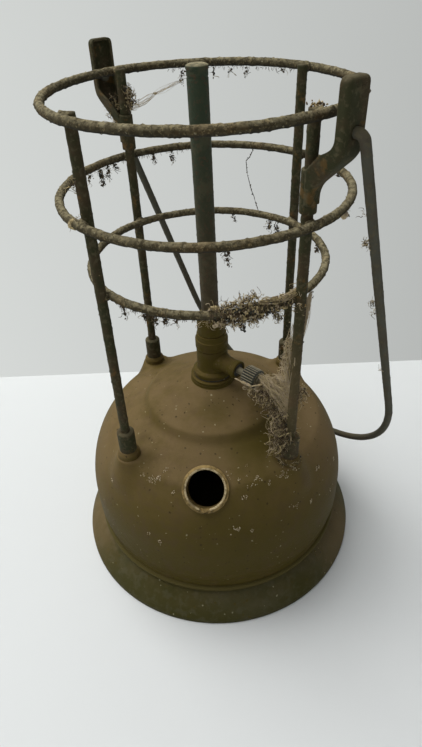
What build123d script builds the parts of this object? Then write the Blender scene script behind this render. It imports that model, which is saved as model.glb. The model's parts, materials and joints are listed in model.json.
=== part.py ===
from build123d import *
from math import asin, atan, cos, degrees, radians, sin, sqrt, tan
import os

# Pressure kerosene heater: a spun tank on a flared skirt, a control cock and vaporiser on
# its crown, and a guard cage of four posts and three wire rings with a swinging bail.
# Millimetres, +Z up. The origin is the centre of the circle that the foot stands on.
# The filler faces -Y, and the posts stand at 45 degrees to the axes.

# Fits
RUNNING = 0.05  # radial clearance of a shaft that turns or slides in its hole
AIR = 0.3  # smallest gap between bodies that pass or rest by one another

# Tank
TANK_R = 84.5
TANK_T = 1.0
SEAM_DRAW = 2.1  # how far the wall draws in to the seam
TANK_HEM = 4.0  # length of tank wall hidden below the seam
FLOOR_T = 1.0
FLOOR_LIP = 6.0
FLOOR_CROWN = 4.0
WALL_EASE = 12.0  # height over which the wall draws in to the seam
WALL_H = 11.5  # straight wall above that
SHOULDER_R = 71.5
TOP_RISE = 57.0  # valley above the top of the straight wall
VALLEY_INSET = 39.5  # valley's circle inside the tank's wall
TOP_PITCH = 25.584
MOUND_RISE = 16.8  # crown above the valley
MOUND_PITCH = 22.0
BROW_STEP = 3.5  # mound's brow inside the valley
BROW_RISE = 5.5  # and above it
KNUCKLE_FILLET = 16.0
VALLEY_FILLET = 7.0
BROW_FILLET = 5.0
EASE_FILLET = 20.0

# Skirt
FOOT_FLARE = 12.6  # foot's edge outside the seam
FOOT_BAND = 3.0
SKIRT_T = 1.2
SKIRT_BULGE = 1.4
SEAM_T = 0.9
SEAM_LOW = 18.0
SEAM_H = 8.5
BEAD_R = 1.3
BEAD_RISE = 4.4  # bead centre above the seam's lower edge

# Posts and what carries them
POST_R = 2.4
POST_INSET = 18.0  # posts' circle inside the tank's wall
POST_LENGTH = 187.6
POST_FIRST_ANGLE = 45.0
POST_NAMES = ["rear_right", "rear_left", "front_left", "front_right"]
PAD_RISE = 3.8  # pad above the dome at the post
PAD_TOP_R = 7.6
PAD_SLOPE = 76.0
PAD_DEPTH = 32.0
FLANGE_R = 6.8
FLANGE_H = 4.5
FLANGE_RIM = 2.6
SOCKET_R = 4.8
SOCKET_H = 14.6
SOCKET_ROUND = 1.5

# Rings, heights above the posts' feet
RING_R = 2.15
RING_HEIGHTS = {"top_ring": 186.2, "middle_ring": 143.0, "bottom_ring": 105.8}
RINGS_INSIDE = ["bottom_ring"]
BRAZE_R = 3.0

# Lugs that carry the bail, heights down from the posts' tops
LUG_T = 1.2
EAR_REACH = 19.5  # outer face of the ear beyond the post's centre
EAR_DEPTH = 4.4
EAR_W = 11.4
EAR_ROUND = 2.5
EAR_ABOVE = 12.8
EAR_BELOW = 13.6
CRANK_DROP = 15.4
CRANK_EASE = 3.0  # corner cut where the crank's flanges meet the ear's
SLEEVE_R = 3.4
SLEEVE_TOP = 22.0
SLEEVE_BOTTOM = 40.0
PIVOT_DOWN = 5.3
LUG_POSTS = ["rear_left", "front_right"]

# Bail
BAIL_R = 2.15
BAIL_LEG = 168.5
BAIL_BEND = 3.5
BAIL_GAP = 1.6  # leg beside the ear
BAIL_END = 3.0  # wire end inside the ear

# Filler
FILLER_INSET = 16.6  # filler's circle inside the tank's wall
FILLER_TILT = 46.0
FILLER_BORE_R = 10.0
FILLER_BODY_R = 12.0
FILLER_RIM_R = 13.5
FILLER_RIM_UP = 1.2
FILLER_RIM_DOWN = 2.0
FILLER_DEPTH = 10.0
VENT_W = 5.0
VENT_DEPTH = 1.5

# Crown boss and control cock
BOSS_R = 13.7
BOSS_H = 3.8
BOSS_GROOVE = 0.7
BOSS_SPIGOT_R = 8.6
BOSS_SPIGOT = 5.0
SEAL_R = 11.5
SEAL_T = 1.0
COCK_FLANGE_R = 12.1
COCK_FLANGE_H = 3.8
COCK_FLANGE_ROUND = 1.3
COCK_R = 9.4
COCK_H = 14.5
COCK_TAIL_R = 7.0
COCK_TAIL = 14.6
COCK_CHAMBER_R = 3.6
COCK_THREAD_R = 8.0
COCK_THREAD = 4.5
FUEL_WAY_R = 2.0

# Cock arm, distances out from the column's axis
ARM_ANGLE = -38.4
ARM_RISE = 6.3  # arm's axis above the flange
ARM_R = 5.2
ARM_END = 21.4
ARM_WELL_R = 4.0
ARM_WELL = 7.5
SPINDLE_R = 2.0
SPINDLE_COLLAR_R = 3.4
SPINDLE_COLLAR = 1.2
SPINDLE_START = 3.2
SPINDLE_SHOWS = 4.0
PACKING = 2.3
GLAND_NUT = 2.8
CAM_R = 0.8
CAM_THROW = 0.8
CAM_LENGTH = 5.0

# Knob
KNOB_R = 6.2
KNOB_L = 11.1
KNOB_FLUTES = 24
KNOB_FLUTE_R = 0.55
KNOB_DISH_R = 4.4
KNOB_DISH = 1.2
KNOB_SCREW_R = 3.0
KNOB_SCREW_H = 1.8
KNOB_SCREW_SHANK_R = 1.1
KNOB_SCREW_SHANK = 4.0
KNOB_SLOT_W = 1.0
KNOB_SLOT_DEPTH = 0.5

# Union nut and vaporiser
NUT_R = 9.8
NUT_SHOULDER_R = 9.25
NUT_TOP_R = 8.8
NUT_GAP = 0.5  # nut above the cock's shoulder
NUT_LIP = 2.5
NUT_STEP = 0.4
NUT_CONE = 3.7  # height of the coned shoulder
WASHER_R = 7.6
WASHER_T = 1.0
STEM_FLANGE = 2.2
STEM_R = 6.1
STEM_H = 13.6
NECK_R = 8.3
NECK_H = 10.4
NECK_TAPER = 3.0
NECK_TAPER_R = 5.9
TUBE_R = 4.75
TUBE_WALL = 1.25
TUBE_LENGTH = 142.2
JET_CAP_R = 5.25
JET_CAP_H = 2.2
JET_R = 0.4
JET_SPIGOT = 4.0
JET_SPIGOT_WALL = 1.0
GUIDE_H = 6.0
PRICKER_R = 0.8
PRICKER_LIFT = 1.6
PRICKER_GAP = 0.5  # rod's foot above the cam at rest

# Fuel pickup
RISER_R = 3.0
RISER_WALL = 1.0
RISER_GAP = 3.0  # above the tank floor
FILTER_R = 5.0
FILTER_H = 12.0
FILTER_WALL = 0.8

# Radii and heights that follow from the sizes above
SEAM_R = TANK_R - SEAM_DRAW
FOOT_R = SEAM_R + FOOT_FLARE
VALLEY_R = TANK_R - VALLEY_INSET
POST_CIRCLE_R = TANK_R - POST_INSET
FILLER_CIRCLE_R = TANK_R - FILLER_INSET
SEAM_TOP = SEAM_LOW + SEAM_H
TANK_BOTTOM = SEAM_LOW - TANK_HEM
WALL_LOW = SEAM_TOP + WALL_EASE
WALL_TOP = WALL_LOW + WALL_H
VALLEY_Z = WALL_TOP + TOP_RISE
CROWN_Z = VALLEY_Z + MOUND_RISE


def arc_and_slope(radius):
    """Heights of the shoulder arc and of the sloping top at this radius."""
    arc = WALL_TOP + sqrt(SHOULDER_R**2 - (radius - TANK_R + SHOULDER_R) ** 2)
    slope = VALLEY_Z - tan(radians(TOP_PITCH)) * (radius - VALLEY_R)
    return arc, slope


FOOT_OF_POSTS = min(arc_and_slope(POST_CIRCLE_R)) + PAD_RISE
POST_TOP = FOOT_OF_POSTS + POST_LENGTH
FLANGE_TOP = FOOT_OF_POSTS + FLANGE_H
PIVOT_Z = POST_TOP - PIVOT_DOWN
EAR_OUT = POST_CIRCLE_R + EAR_REACH
BAIL_HALF_SPAN = EAR_OUT + BAIL_GAP + BAIL_R
BAIL_HANG = degrees(asin((TANK_R + BAIL_R + AIR) / (BAIL_LEG + BAIL_HALF_SPAN)))

SEAL_LOW = CROWN_Z + BOSS_H
FLANGE_LOW = SEAL_LOW + SEAL_T
COCK_LOW = FLANGE_LOW + COCK_FLANGE_H
ARM_Z = COCK_LOW + ARM_RISE
COCK_TOP = COCK_LOW + COCK_H
COCK_SEAT = COCK_TOP + COCK_THREAD
STEM_LOW = COCK_SEAT + WASHER_T
STEM_SHOULDER = STEM_LOW + STEM_FLANGE
NUT_LOW = COCK_TOP + NUT_GAP
NUT_TOP = STEM_SHOULDER + NUT_LIP
NECK_LOW = NUT_TOP + AIR
NECK_TOP = NECK_LOW + NECK_H
TUBE_TOP = STEM_LOW + TUBE_LENGTH
FLOOR_TOP = TANK_BOTTOM + FLOOR_LIP + FLOOR_CROWN
RISER_LOW = FLOOR_TOP + RISER_GAP + FILTER_WALL
TAIL_LOW = FLANGE_LOW - COCK_TAIL

ARM_PLANE = Plane(
    origin=(0, 0, ARM_Z),
    x_dir=(0, 0, 1),
    z_dir=(cos(radians(ARM_ANGLE)), sin(radians(ARM_ANGLE)), 0),
)
FILLER_PLANE = Plane(
    origin=(0, -FILLER_CIRCLE_R, min(arc_and_slope(FILLER_CIRCLE_R))),
    x_dir=(1, 0, 0),
    z_dir=(0, -sin(radians(FILLER_TILT)), cos(radians(FILLER_TILT))),
)


def turned(corners):
    """Solid of revolution about Z from (radius, height) corners."""
    line = Polyline([(r, 0, z) for r, z in corners], close=True)
    return revolve(make_face(line), Axis.Z)


def cylinder(radius, low, high):
    """Solid cylinder on Z between two heights."""
    return Pos(0, 0, low) * Cylinder(radius, high - low, align=(Align.CENTER, Align.CENTER, Align.MIN))


def tube(outer, inner, low, high):
    """Plain tube on Z between two heights."""
    return cylinder(outer, low, high) - cylinder(inner, low, high)


def around(angle, shape):
    """The shape turned about Z."""
    return Rot(0, 0, angle) * shape


def post_angle(name):
    """Direction of a post from the axis, in degrees."""
    return POST_FIRST_ANGLE + 90 * POST_NAMES.index(name)


def at_posts(shape):
    """Four copies of a shape that is made on the first post's radius along +X."""
    return [around(post_angle(name), shape) for name in POST_NAMES]


def knuckle_radius():
    """Radius at which the shoulder's arc meets the sloping top."""
    radius = TANK_R - TANK_T
    while arc_and_slope(radius)[0] < arc_and_slope(radius)[1]:
        radius -= AIR / 10
    return radius


def dome_half():
    """Filled half section of the tank, with its corners rounded, in X and Y."""
    knuckle = knuckle_radius()
    knuckle_z = arc_and_slope(knuckle)[1]
    brow = VALLEY_R - BROW_STEP
    brow_z = VALLEY_Z + BROW_RISE
    crest = brow - (CROWN_Z - brow_z) / tan(radians(MOUND_PITCH))
    ease_angle = atan((TANK_R - SEAM_R) / WALL_EASE)
    ease_z = SEAM_TOP + AIR + EASE_FILLET * tan(ease_angle / 2)
    shoulder_z = (WALL_TOP + knuckle_z) / 2
    shoulder_r = TANK_R - SHOULDER_R + sqrt(SHOULDER_R**2 - (shoulder_z - WALL_TOP) ** 2)
    edges = Polyline(
        (knuckle, knuckle_z),
        (VALLEY_R, VALLEY_Z),
        (brow, brow_z),
        (crest, CROWN_Z),
        (0, CROWN_Z),
        (0, TANK_BOTTOM - 2 * TANK_T),
        (SEAM_R, TANK_BOTTOM - 2 * TANK_T),
        (SEAM_R, ease_z),
        (TANK_R, WALL_LOW),
        (TANK_R, WALL_TOP),
    )
    shoulder = ThreePointArc((TANK_R, WALL_TOP), (shoulder_r, shoulder_z), (knuckle, knuckle_z))
    half = make_face(edges.edges() + [shoulder])
    for corner, radius in [
        ((knuckle, knuckle_z), KNUCKLE_FILLET),
        ((VALLEY_R, VALLEY_Z), VALLEY_FILLET),
        ((brow, brow_z), BROW_FILLET),
        ((SEAM_R, ease_z), EASE_FILLET),
        ((TANK_R, WALL_LOW), EASE_FILLET),
    ]:
        half = fillet(half.vertices().sort_by_distance(Vector(*corner))[0], radius)
    return half


def dome_solid(inset):
    """The tank's filled outer form with its post pads, or its inner form when inset."""
    half = dome_half()
    both = half + mirror(half, Plane.YZ)
    if inset:
        both = offset(both, -inset)
    right = Pos(FOOT_R, CROWN_Z / 2) * Rectangle(2 * FOOT_R, 2 * CROWN_Z)
    form = revolve(Plane.XZ * (both & right).face(), Axis.Z)
    spread = PAD_DEPTH / tan(radians(PAD_SLOPE))
    pad = Cone(
        PAD_TOP_R - inset + spread,
        PAD_TOP_R - inset,
        PAD_DEPTH,
        align=(Align.CENTER, Align.CENTER, Align.MAX),
    )
    for placed in at_posts(Pos(POST_CIRCLE_R, 0, FOOT_OF_POSTS - inset) * pad):
        form += placed
    return form


def filler_plug():
    """Filled outer form of the filler neck, in its own plane."""
    return FILLER_PLANE * (
        cylinder(FILLER_RIM_R, -FILLER_RIM_DOWN, FILLER_RIM_UP)
        + cylinder(FILLER_BODY_R, -FILLER_DEPTH, 0)
    )


def make_tank_dome():
    """Spun tank wall and top, open below, pierced for the boss and the filler."""
    shell = dome_solid(0) - dome_solid(TANK_T)
    shell -= cylinder(2 * TANK_R, TANK_BOTTOM - 4 * TANK_T, TANK_BOTTOM)
    shell -= cylinder(BOSS_SPIGOT_R, VALLEY_Z, CROWN_Z + TANK_T)
    return shell - filler_plug()


def make_tank_floor():
    """Crowned floor with a turned-down lip, soldered inside the tank's hem."""
    lip_r = SEAM_R - TANK_T
    disc_low = TANK_BOTTOM + FLOOR_LIP - FLOOR_T
    outline = Polyline(
        (lip_r, TANK_BOTTOM),
        (lip_r, disc_low + FLOOR_T),
        (0, disc_low + FLOOR_T + FLOOR_CROWN),
        (0, disc_low + FLOOR_CROWN),
        (lip_r - FLOOR_T, disc_low),
        (lip_r - FLOOR_T, TANK_BOTTOM),
        close=True,
    )
    return revolve(Plane.XZ * make_face(outline), Axis.Z)


def skirt_section(outer, seam, low):
    """Filled half section of the skirt, out to the given radii."""
    # The flare bulges outwards from the straight line between its two ends.
    start = Vector(outer, FOOT_BAND)
    end = Vector(seam, SEAM_LOW)
    run = end - start
    bulge = Vector(run.Y, -run.X).normalized() * SKIRT_BULGE
    flare = ThreePointArc(start, (start + end) * 0.5 + bulge, end)
    rest = Polyline(end, (seam, SEAM_TOP), (0, SEAM_TOP), (0, low), (outer, low), start)
    return Plane.XZ * make_face([flare] + rest.edges())


def make_tank_skirt():
    """Flared base with a plain foot band, a seam collar and a raised bead."""
    outside = revolve(skirt_section(FOOT_R, SEAM_R + SEAM_T, 0), Axis.Z)
    inside = revolve(skirt_section(FOOT_R - SKIRT_T, SEAM_R, -1), Axis.Z)
    bead = Pos(0, 0, SEAM_LOW + BEAD_RISE) * Torus(SEAM_R + SEAM_T / 2, BEAD_R)
    return outside - inside + (bead - cylinder(SEAM_R, 0, SEAM_TOP))


def make_filler_neck():
    """Brass filler bush, screwed inside, with a vent notch at its lowest point."""
    bush = filler_plug() - FILLER_PLANE * cylinder(FILLER_BORE_R, -FILLER_DEPTH, FILLER_RIM_UP)
    notch = Pos(0, -FILLER_BORE_R, FILLER_RIM_UP) * Box(VENT_W, 2 * VENT_DEPTH, 2 * VENT_DEPTH)
    return bush - FILLER_PLANE * notch


def make_crown_boss():
    """Flanged boss brazed on the crown, with one groove and a spigot into the tank."""
    groove_z = CROWN_Z + BOSS_H / 2
    boss = cylinder(BOSS_R, CROWN_Z, SEAL_LOW) + cylinder(BOSS_SPIGOT_R, CROWN_Z - BOSS_SPIGOT, CROWN_Z)
    boss -= tube(
        BOSS_R + BOSS_GROOVE, BOSS_R - BOSS_GROOVE, groove_z - BOSS_GROOVE / 2, groove_z + BOSS_GROOVE / 2
    )
    return boss - cylinder(COCK_TAIL_R, CROWN_Z - BOSS_SPIGOT, SEAL_LOW)


def make_boss_seal():
    """Flat washer between the boss and the cock."""
    return tube(SEAL_R, COCK_TAIL_R, SEAL_LOW, FLANGE_LOW)


def make_cock_body():
    """Cock body: tail, flange, column, union thread and a side arm for the spindle."""
    body = turned(
        [
            (0, TAIL_LOW),
            (COCK_TAIL_R, TAIL_LOW),
            (COCK_TAIL_R, FLANGE_LOW),
            (COCK_FLANGE_R, FLANGE_LOW),
            (COCK_FLANGE_R, COCK_LOW - COCK_FLANGE_ROUND),
            (COCK_FLANGE_R - COCK_FLANGE_ROUND, COCK_LOW),
            (COCK_R, COCK_LOW),
            (COCK_R, COCK_TOP),
            (COCK_THREAD_R, COCK_TOP),
            (COCK_THREAD_R, COCK_SEAT),
            (0, COCK_SEAT),
        ]
    )
    body += ARM_PLANE * cylinder(ARM_R, 0, ARM_END)
    chamber_low = ARM_Z - CAM_THROW - 3 * CAM_R
    body -= cylinder(COCK_CHAMBER_R, chamber_low, COCK_SEAT)
    body -= cylinder(FUEL_WAY_R, TAIL_LOW, chamber_low)
    body -= cylinder(RISER_R, TAIL_LOW, TAIL_LOW + 2 * RISER_R)
    body -= ARM_PLANE * cylinder(SPINDLE_R + RUNNING, 0, ARM_END)
    return body - ARM_PLANE * cylinder(ARM_WELL_R, ARM_END - ARM_WELL, ARM_END)


def make_gland_packing():
    """Packing ring around the spindle at the bottom of the arm's well."""
    low = ARM_END - ARM_WELL + SPINDLE_COLLAR + 2 * AIR
    return ARM_PLANE * tube(ARM_WELL_R, SPINDLE_R + RUNNING, low, low + PACKING)


def make_gland_nut():
    """Screwed ring that presses on the packing."""
    low = ARM_END - ARM_WELL + SPINDLE_COLLAR + 2 * AIR + PACKING
    return ARM_PLANE * tube(ARM_WELL_R, SPINDLE_R + RUNNING, low, low + GLAND_NUT)


def make_cock_spindle():
    """Spindle with a retaining collar, and an offset pin that lifts the pricker."""
    collar_low = ARM_END - ARM_WELL + AIR
    spindle = cylinder(SPINDLE_R, SPINDLE_START, ARM_END + SPINDLE_SHOWS + KNOB_L / 2)
    spindle += cylinder(SPINDLE_COLLAR_R, collar_low, collar_low + SPINDLE_COLLAR)
    spindle += Pos(-CAM_THROW, 0) * cylinder(CAM_R, SPINDLE_START - CAM_LENGTH, SPINDLE_START)
    return ARM_PLANE * spindle


def make_control_knob():
    """Fluted barrel knob with a dished outer end, on the end of the spindle."""
    low = ARM_END + SPINDLE_SHOWS
    high = low + KNOB_L
    knob = cylinder(KNOB_R, low, high)
    flute = Pos(KNOB_R, 0) * cylinder(KNOB_FLUTE_R, low, high)
    knob -= [Rot(0, 0, 360 * i / KNOB_FLUTES) * flute for i in range(KNOB_FLUTES)]
    knob -= cylinder(KNOB_DISH_R, high - KNOB_DISH, high)
    knob -= cylinder(SPINDLE_R, low, low + KNOB_L / 2)
    return ARM_PLANE * (knob - cylinder(KNOB_SCREW_SHANK_R, low, high))


def make_knob_screw():
    """Slotted screw that holds the knob on the spindle."""
    seat = ARM_END + SPINDLE_SHOWS + KNOB_L - KNOB_DISH
    screw = cylinder(KNOB_SCREW_R, seat, seat + KNOB_SCREW_H)
    screw += cylinder(KNOB_SCREW_SHANK_R, seat - KNOB_SCREW_SHANK, seat)
    slot = Pos(0, 0, seat + KNOB_SCREW_H) * Box(3 * KNOB_SCREW_R, KNOB_SLOT_W, 2 * KNOB_SLOT_DEPTH)
    return ARM_PLANE * (screw - slot)


def make_union_nut():
    """Round union nut with a coned shoulder, its lip over the vaporiser's flange."""
    shoulder = NUT_TOP - NUT_CONE
    return turned(
        [
            (COCK_THREAD_R, NUT_LOW),
            (NUT_R, NUT_LOW),
            (NUT_R, shoulder),
            (NUT_SHOULDER_R, shoulder + NUT_STEP),
            (NUT_TOP_R, NUT_TOP),
            (STEM_R, NUT_TOP),
            (STEM_R, STEM_SHOULDER),
            (COCK_THREAD_R, STEM_SHOULDER),
        ]
    )


def make_lead_washer():
    """Soft washer that seals the vaporiser on the cock."""
    return tube(WASHER_R, COCK_CHAMBER_R, COCK_SEAT, STEM_LOW)


def make_vaporiser_tube():
    """Vaporiser: clamped flange, stem with the pricker's guide, and the long tube."""
    bore = TUBE_R - TUBE_WALL
    stem_top = STEM_LOW + STEM_H
    return turned(
        [
            (PRICKER_R + RUNNING, STEM_LOW),
            (WASHER_R, STEM_LOW),
            (WASHER_R, STEM_SHOULDER),
            (STEM_R, STEM_SHOULDER),
            (STEM_R, stem_top),
            (TUBE_R, stem_top),
            (TUBE_R, TUBE_TOP),
            (bore, TUBE_TOP),
            (bore, STEM_LOW + GUIDE_H),
            (PRICKER_R + RUNNING, STEM_LOW + GUIDE_H),
        ]
    )


def make_vaporiser_neck():
    """Sleeve brazed on the vaporiser above the nut, tapered at its top."""
    stem_top = STEM_LOW + STEM_H
    return turned(
        [
            (STEM_R, NECK_LOW),
            (NECK_R, NECK_LOW),
            (NECK_R, NECK_TOP),
            (NECK_TAPER_R, NECK_TOP + NECK_TAPER),
            (TUBE_R, NECK_TOP + NECK_TAPER),
            (TUBE_R, stem_top),
            (STEM_R, stem_top),
        ]
    )


def make_jet_cap():
    """Cap with the jet hole, its spigot inside the vaporiser's end."""
    spigot_r = TUBE_R - TUBE_WALL
    cap = cylinder(JET_CAP_R, TUBE_TOP, TUBE_TOP + JET_CAP_H)
    cap += tube(spigot_r, spigot_r - JET_SPIGOT_WALL, TUBE_TOP - JET_SPIGOT, TUBE_TOP)
    return cap - cylinder(JET_R, TUBE_TOP, TUBE_TOP + JET_CAP_H)


def make_pricker_rod():
    """Rod that rides the cam pin and pushes its needle through the jet."""
    foot = ARM_Z - CAM_THROW + CAM_R + PRICKER_GAP
    shoulder = TUBE_TOP - PRICKER_LIFT - 2 * AIR
    tip = TUBE_TOP + JET_CAP_H - PRICKER_LIFT - AIR
    return cylinder(PRICKER_R, foot, shoulder) + cylinder(JET_R - RUNNING, shoulder, tip)


def make_riser_tube():
    """Pickup pipe from the cock's tail down to the filter."""
    return tube(RISER_R, RISER_R - RISER_WALL, RISER_LOW, TAIL_LOW + 2 * RISER_R)


def make_fuel_filter():
    """Strainer cup on the foot of the pickup pipe."""
    low = RISER_LOW - FILTER_WALL
    cup = cylinder(FILTER_R, low, low + FILTER_H)
    cup -= cylinder(FILTER_R - FILTER_WALL, low + FILTER_WALL, low + FILTER_H - FILTER_WALL)
    return cup - cylinder(RISER_R, low + FILTER_WALL, low + FILTER_H)


def make_post_flange():
    """Flange with a coned top that seats the post's socket on its pad."""
    flange = turned(
        [
            (POST_R, FOOT_OF_POSTS),
            (FLANGE_R, FOOT_OF_POSTS),
            (FLANGE_R, FOOT_OF_POSTS + FLANGE_RIM),
            (SOCKET_R, FLANGE_TOP),
            (POST_R, FLANGE_TOP),
        ]
    )
    return Pos(POST_CIRCLE_R, 0) * flange


def make_post_socket():
    """Round-topped socket that grips the post."""
    high = FLANGE_TOP + SOCKET_H
    socket = turned(
        [
            (POST_R, FLANGE_TOP),
            (SOCKET_R, FLANGE_TOP),
            (SOCKET_R, high - SOCKET_ROUND),
            (SOCKET_R - SOCKET_ROUND, high),
            (POST_R, high),
        ]
    )
    return Pos(POST_CIRCLE_R, 0) * socket


def make_post():
    """Plain upright rod."""
    return Pos(POST_CIRCLE_R, 0) * cylinder(POST_R, FOOT_OF_POSTS, POST_TOP)


def make_ring(name):
    """Wire ring that touches every post, with a blob of braze at each."""
    side = -1 if name in RINGS_INSIDE else 1
    ring_r = POST_CIRCLE_R + side * (POST_R + RING_R)
    contact = POST_CIRCLE_R + side * POST_R
    height = FOOT_OF_POSTS + RING_HEIGHTS[name]
    ring = Pos(0, 0, height) * Torus(ring_r, RING_R)
    blob = Pos(contact, 0, height) * Sphere(BRAZE_R)
    blob -= Pos(POST_CIRCLE_R, 0) * cylinder(POST_R, FOOT_OF_POSTS, POST_TOP + BRAZE_R)
    return ring + at_posts(blob)


def lug_form(inset, inner_reach):
    """Filled form of a lug's ear and crank on the +X side, or its hollow when inset."""
    ear_top = POST_TOP + EAR_ABOVE - inset
    ear_low = POST_TOP - EAR_BELOW
    crank_low = ear_low - CRANK_DROP
    outside = POST_CIRCLE_R + SLEEVE_R - inset
    side = Polyline(
        (EAR_OUT - inset, ear_top),
        (EAR_OUT - inset, ear_low + inset / 2),
        (outside, crank_low + inset / 2),
        (POST_CIRCLE_R, crank_low + inset / 2),
        (POST_CIRCLE_R, POST_TOP - SLEEVE_TOP + inner_reach),
        (POST_CIRCLE_R + SLEEVE_R, POST_TOP - SLEEVE_TOP + SLEEVE_R + inner_reach),
        (EAR_OUT - EAR_DEPTH - inner_reach - CRANK_EASE, ear_low + inner_reach),
        (EAR_OUT - EAR_DEPTH - inner_reach, ear_low + CRANK_EASE + inner_reach),
        (EAR_OUT - EAR_DEPTH - inner_reach, ear_top),
        close=True,
    )
    form = extrude(Plane.XZ * make_face(side), EAR_W, both=True)
    wide = EAR_W / 2 - inset
    narrow = SLEEVE_R - inset
    front = Polyline(
        (wide, ear_top),
        (wide, ear_low),
        (narrow, crank_low + SLEEVE_R),
        (narrow, crank_low),
        (-narrow, crank_low),
        (-narrow, crank_low + SLEEVE_R),
        (-wide, ear_low),
        (-wide, ear_top),
        close=True,
    )
    face = make_face(front)
    face = fillet(face.vertices().group_by(Axis.Y)[-1], EAR_ROUND - inset / 2)
    return form & extrude(Plane.YZ * face, 2 * EAR_OUT)


def make_lug():
    """Pressed lug: a sleeve on the post, cranked out to an ear with the pivot hole."""
    through = EAR_W  # far enough to leave the pan open towards the post
    shell = lug_form(0, 0) - lug_form(LUG_T, through)
    shell += Pos(POST_CIRCLE_R, 0) * cylinder(SLEEVE_R, POST_TOP - SLEEVE_BOTTOM, POST_TOP - SLEEVE_TOP)
    shell -= Pos(POST_CIRCLE_R, 0) * cylinder(POST_R, FOOT_OF_POSTS, POST_TOP + EAR_ABOVE)
    hole = Pos(EAR_OUT, 0, PIVOT_Z) * Rot(0, 90, 0) * Cylinder(BAIL_R + RUNNING, 4 * LUG_T)
    return shell - hole


def make_bail():
    """Wire bail: two inward ends, straight legs and a half-round bow, hanging at rest."""
    end_x = EAR_OUT - LUG_T - BAIL_END
    elbow_x = BAIL_HALF_SPAN - BAIL_BEND
    swing = BAIL_BEND * sqrt(0.5)
    path = [
        Line((end_x, 0), (elbow_x, 0)),
        ThreePointArc(
            (elbow_x, 0),
            (elbow_x + swing, -BAIL_BEND + swing),
            (BAIL_HALF_SPAN, -BAIL_BEND),
        ),
        Line((BAIL_HALF_SPAN, -BAIL_BEND), (BAIL_HALF_SPAN, -BAIL_LEG)),
        ThreePointArc(
            (BAIL_HALF_SPAN, -BAIL_LEG),
            (0, -BAIL_LEG - BAIL_HALF_SPAN),
            (-BAIL_HALF_SPAN, -BAIL_LEG),
        ),
        Line((-BAIL_HALF_SPAN, -BAIL_LEG), (-BAIL_HALF_SPAN, -BAIL_BEND)),
        ThreePointArc(
            (-BAIL_HALF_SPAN, -BAIL_BEND),
            (-elbow_x - swing, -BAIL_BEND + swing),
            (-elbow_x, 0),
        ),
        Line((-elbow_x, 0), (-end_x, 0)),
    ]
    centre_line = Plane.XZ * Wire([edge.edge() for edge in path])
    start = Plane(origin=(end_x, 0, 0), x_dir=(0, 1, 0), z_dir=(1, 0, 0))
    wire = sweep(start * Circle(BAIL_R), centre_line)
    hung = Pos(0, 0, PIVOT_Z) * Rot(BAIL_HANG, 0, 0) * wire
    return around(post_angle("front_right"), hung)


def build():
    """Every piece by its node name."""
    pieces = {
        "tank_dome": make_tank_dome(),
        "tank_floor": make_tank_floor(),
        "tank_skirt": make_tank_skirt(),
        "filler_neck": make_filler_neck(),
        "crown_boss": make_crown_boss(),
        "boss_seal": make_boss_seal(),
        "cock_body": make_cock_body(),
        "gland_packing": make_gland_packing(),
        "gland_nut": make_gland_nut(),
        "cock_spindle": make_cock_spindle(),
        "control_knob": make_control_knob(),
        "knob_screw": make_knob_screw(),
        "union_nut": make_union_nut(),
        "lead_washer": make_lead_washer(),
        "vaporiser_tube": make_vaporiser_tube(),
        "vaporiser_neck": make_vaporiser_neck(),
        "jet_cap": make_jet_cap(),
        "pricker_rod": make_pricker_rod(),
        "riser_tube": make_riser_tube(),
        "fuel_filter": make_fuel_filter(),
        "bail_handle": make_bail(),
    }
    for name in POST_NAMES:
        pieces["post_flange_" + name] = around(post_angle(name), make_post_flange())
        pieces["post_socket_" + name] = around(post_angle(name), make_post_socket())
        pieces["post_" + name] = around(post_angle(name), make_post())
    for name in RING_HEIGHTS:
        pieces[name] = make_ring(name)
    for name in LUG_POSTS:
        pieces["bail_lug_" + name] = around(post_angle(name), make_lug())
    return pieces


os.makedirs("parts", exist_ok=True)
for node, piece in build().items():
    export_step(piece, "parts/" + node + ".step")
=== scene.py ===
"""Looks of a pressure kerosene heater: old khaki paint, brass, rusty wire and the dirt on them."""

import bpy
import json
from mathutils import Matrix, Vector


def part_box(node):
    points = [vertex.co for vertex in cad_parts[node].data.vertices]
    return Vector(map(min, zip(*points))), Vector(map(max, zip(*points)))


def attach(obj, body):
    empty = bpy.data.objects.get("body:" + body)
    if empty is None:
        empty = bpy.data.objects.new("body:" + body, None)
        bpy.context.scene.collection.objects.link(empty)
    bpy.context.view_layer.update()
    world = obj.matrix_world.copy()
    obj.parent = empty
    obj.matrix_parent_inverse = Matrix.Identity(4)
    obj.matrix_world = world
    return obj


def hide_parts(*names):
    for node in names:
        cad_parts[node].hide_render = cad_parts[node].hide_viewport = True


bl_info = {
    "name": "Kerosene Heater",
    "version": (1, 0, 0),
    "blender": (4, 5, 0),
    "location": "3D View > Sidebar > Heater",
    "description": "Builds the visible pieces of a pressure kerosene heater on its packed frame",
    "category": "Object",
}

import functools
import json
import math
import random

import bmesh
import bpy
import numpy as np
from bpy.props import FloatProperty, FloatVectorProperty, IntProperty, PointerProperty
from mathutils import Euler, Matrix, Vector, noise
from mathutils.bvhtree import BVHTree

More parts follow.
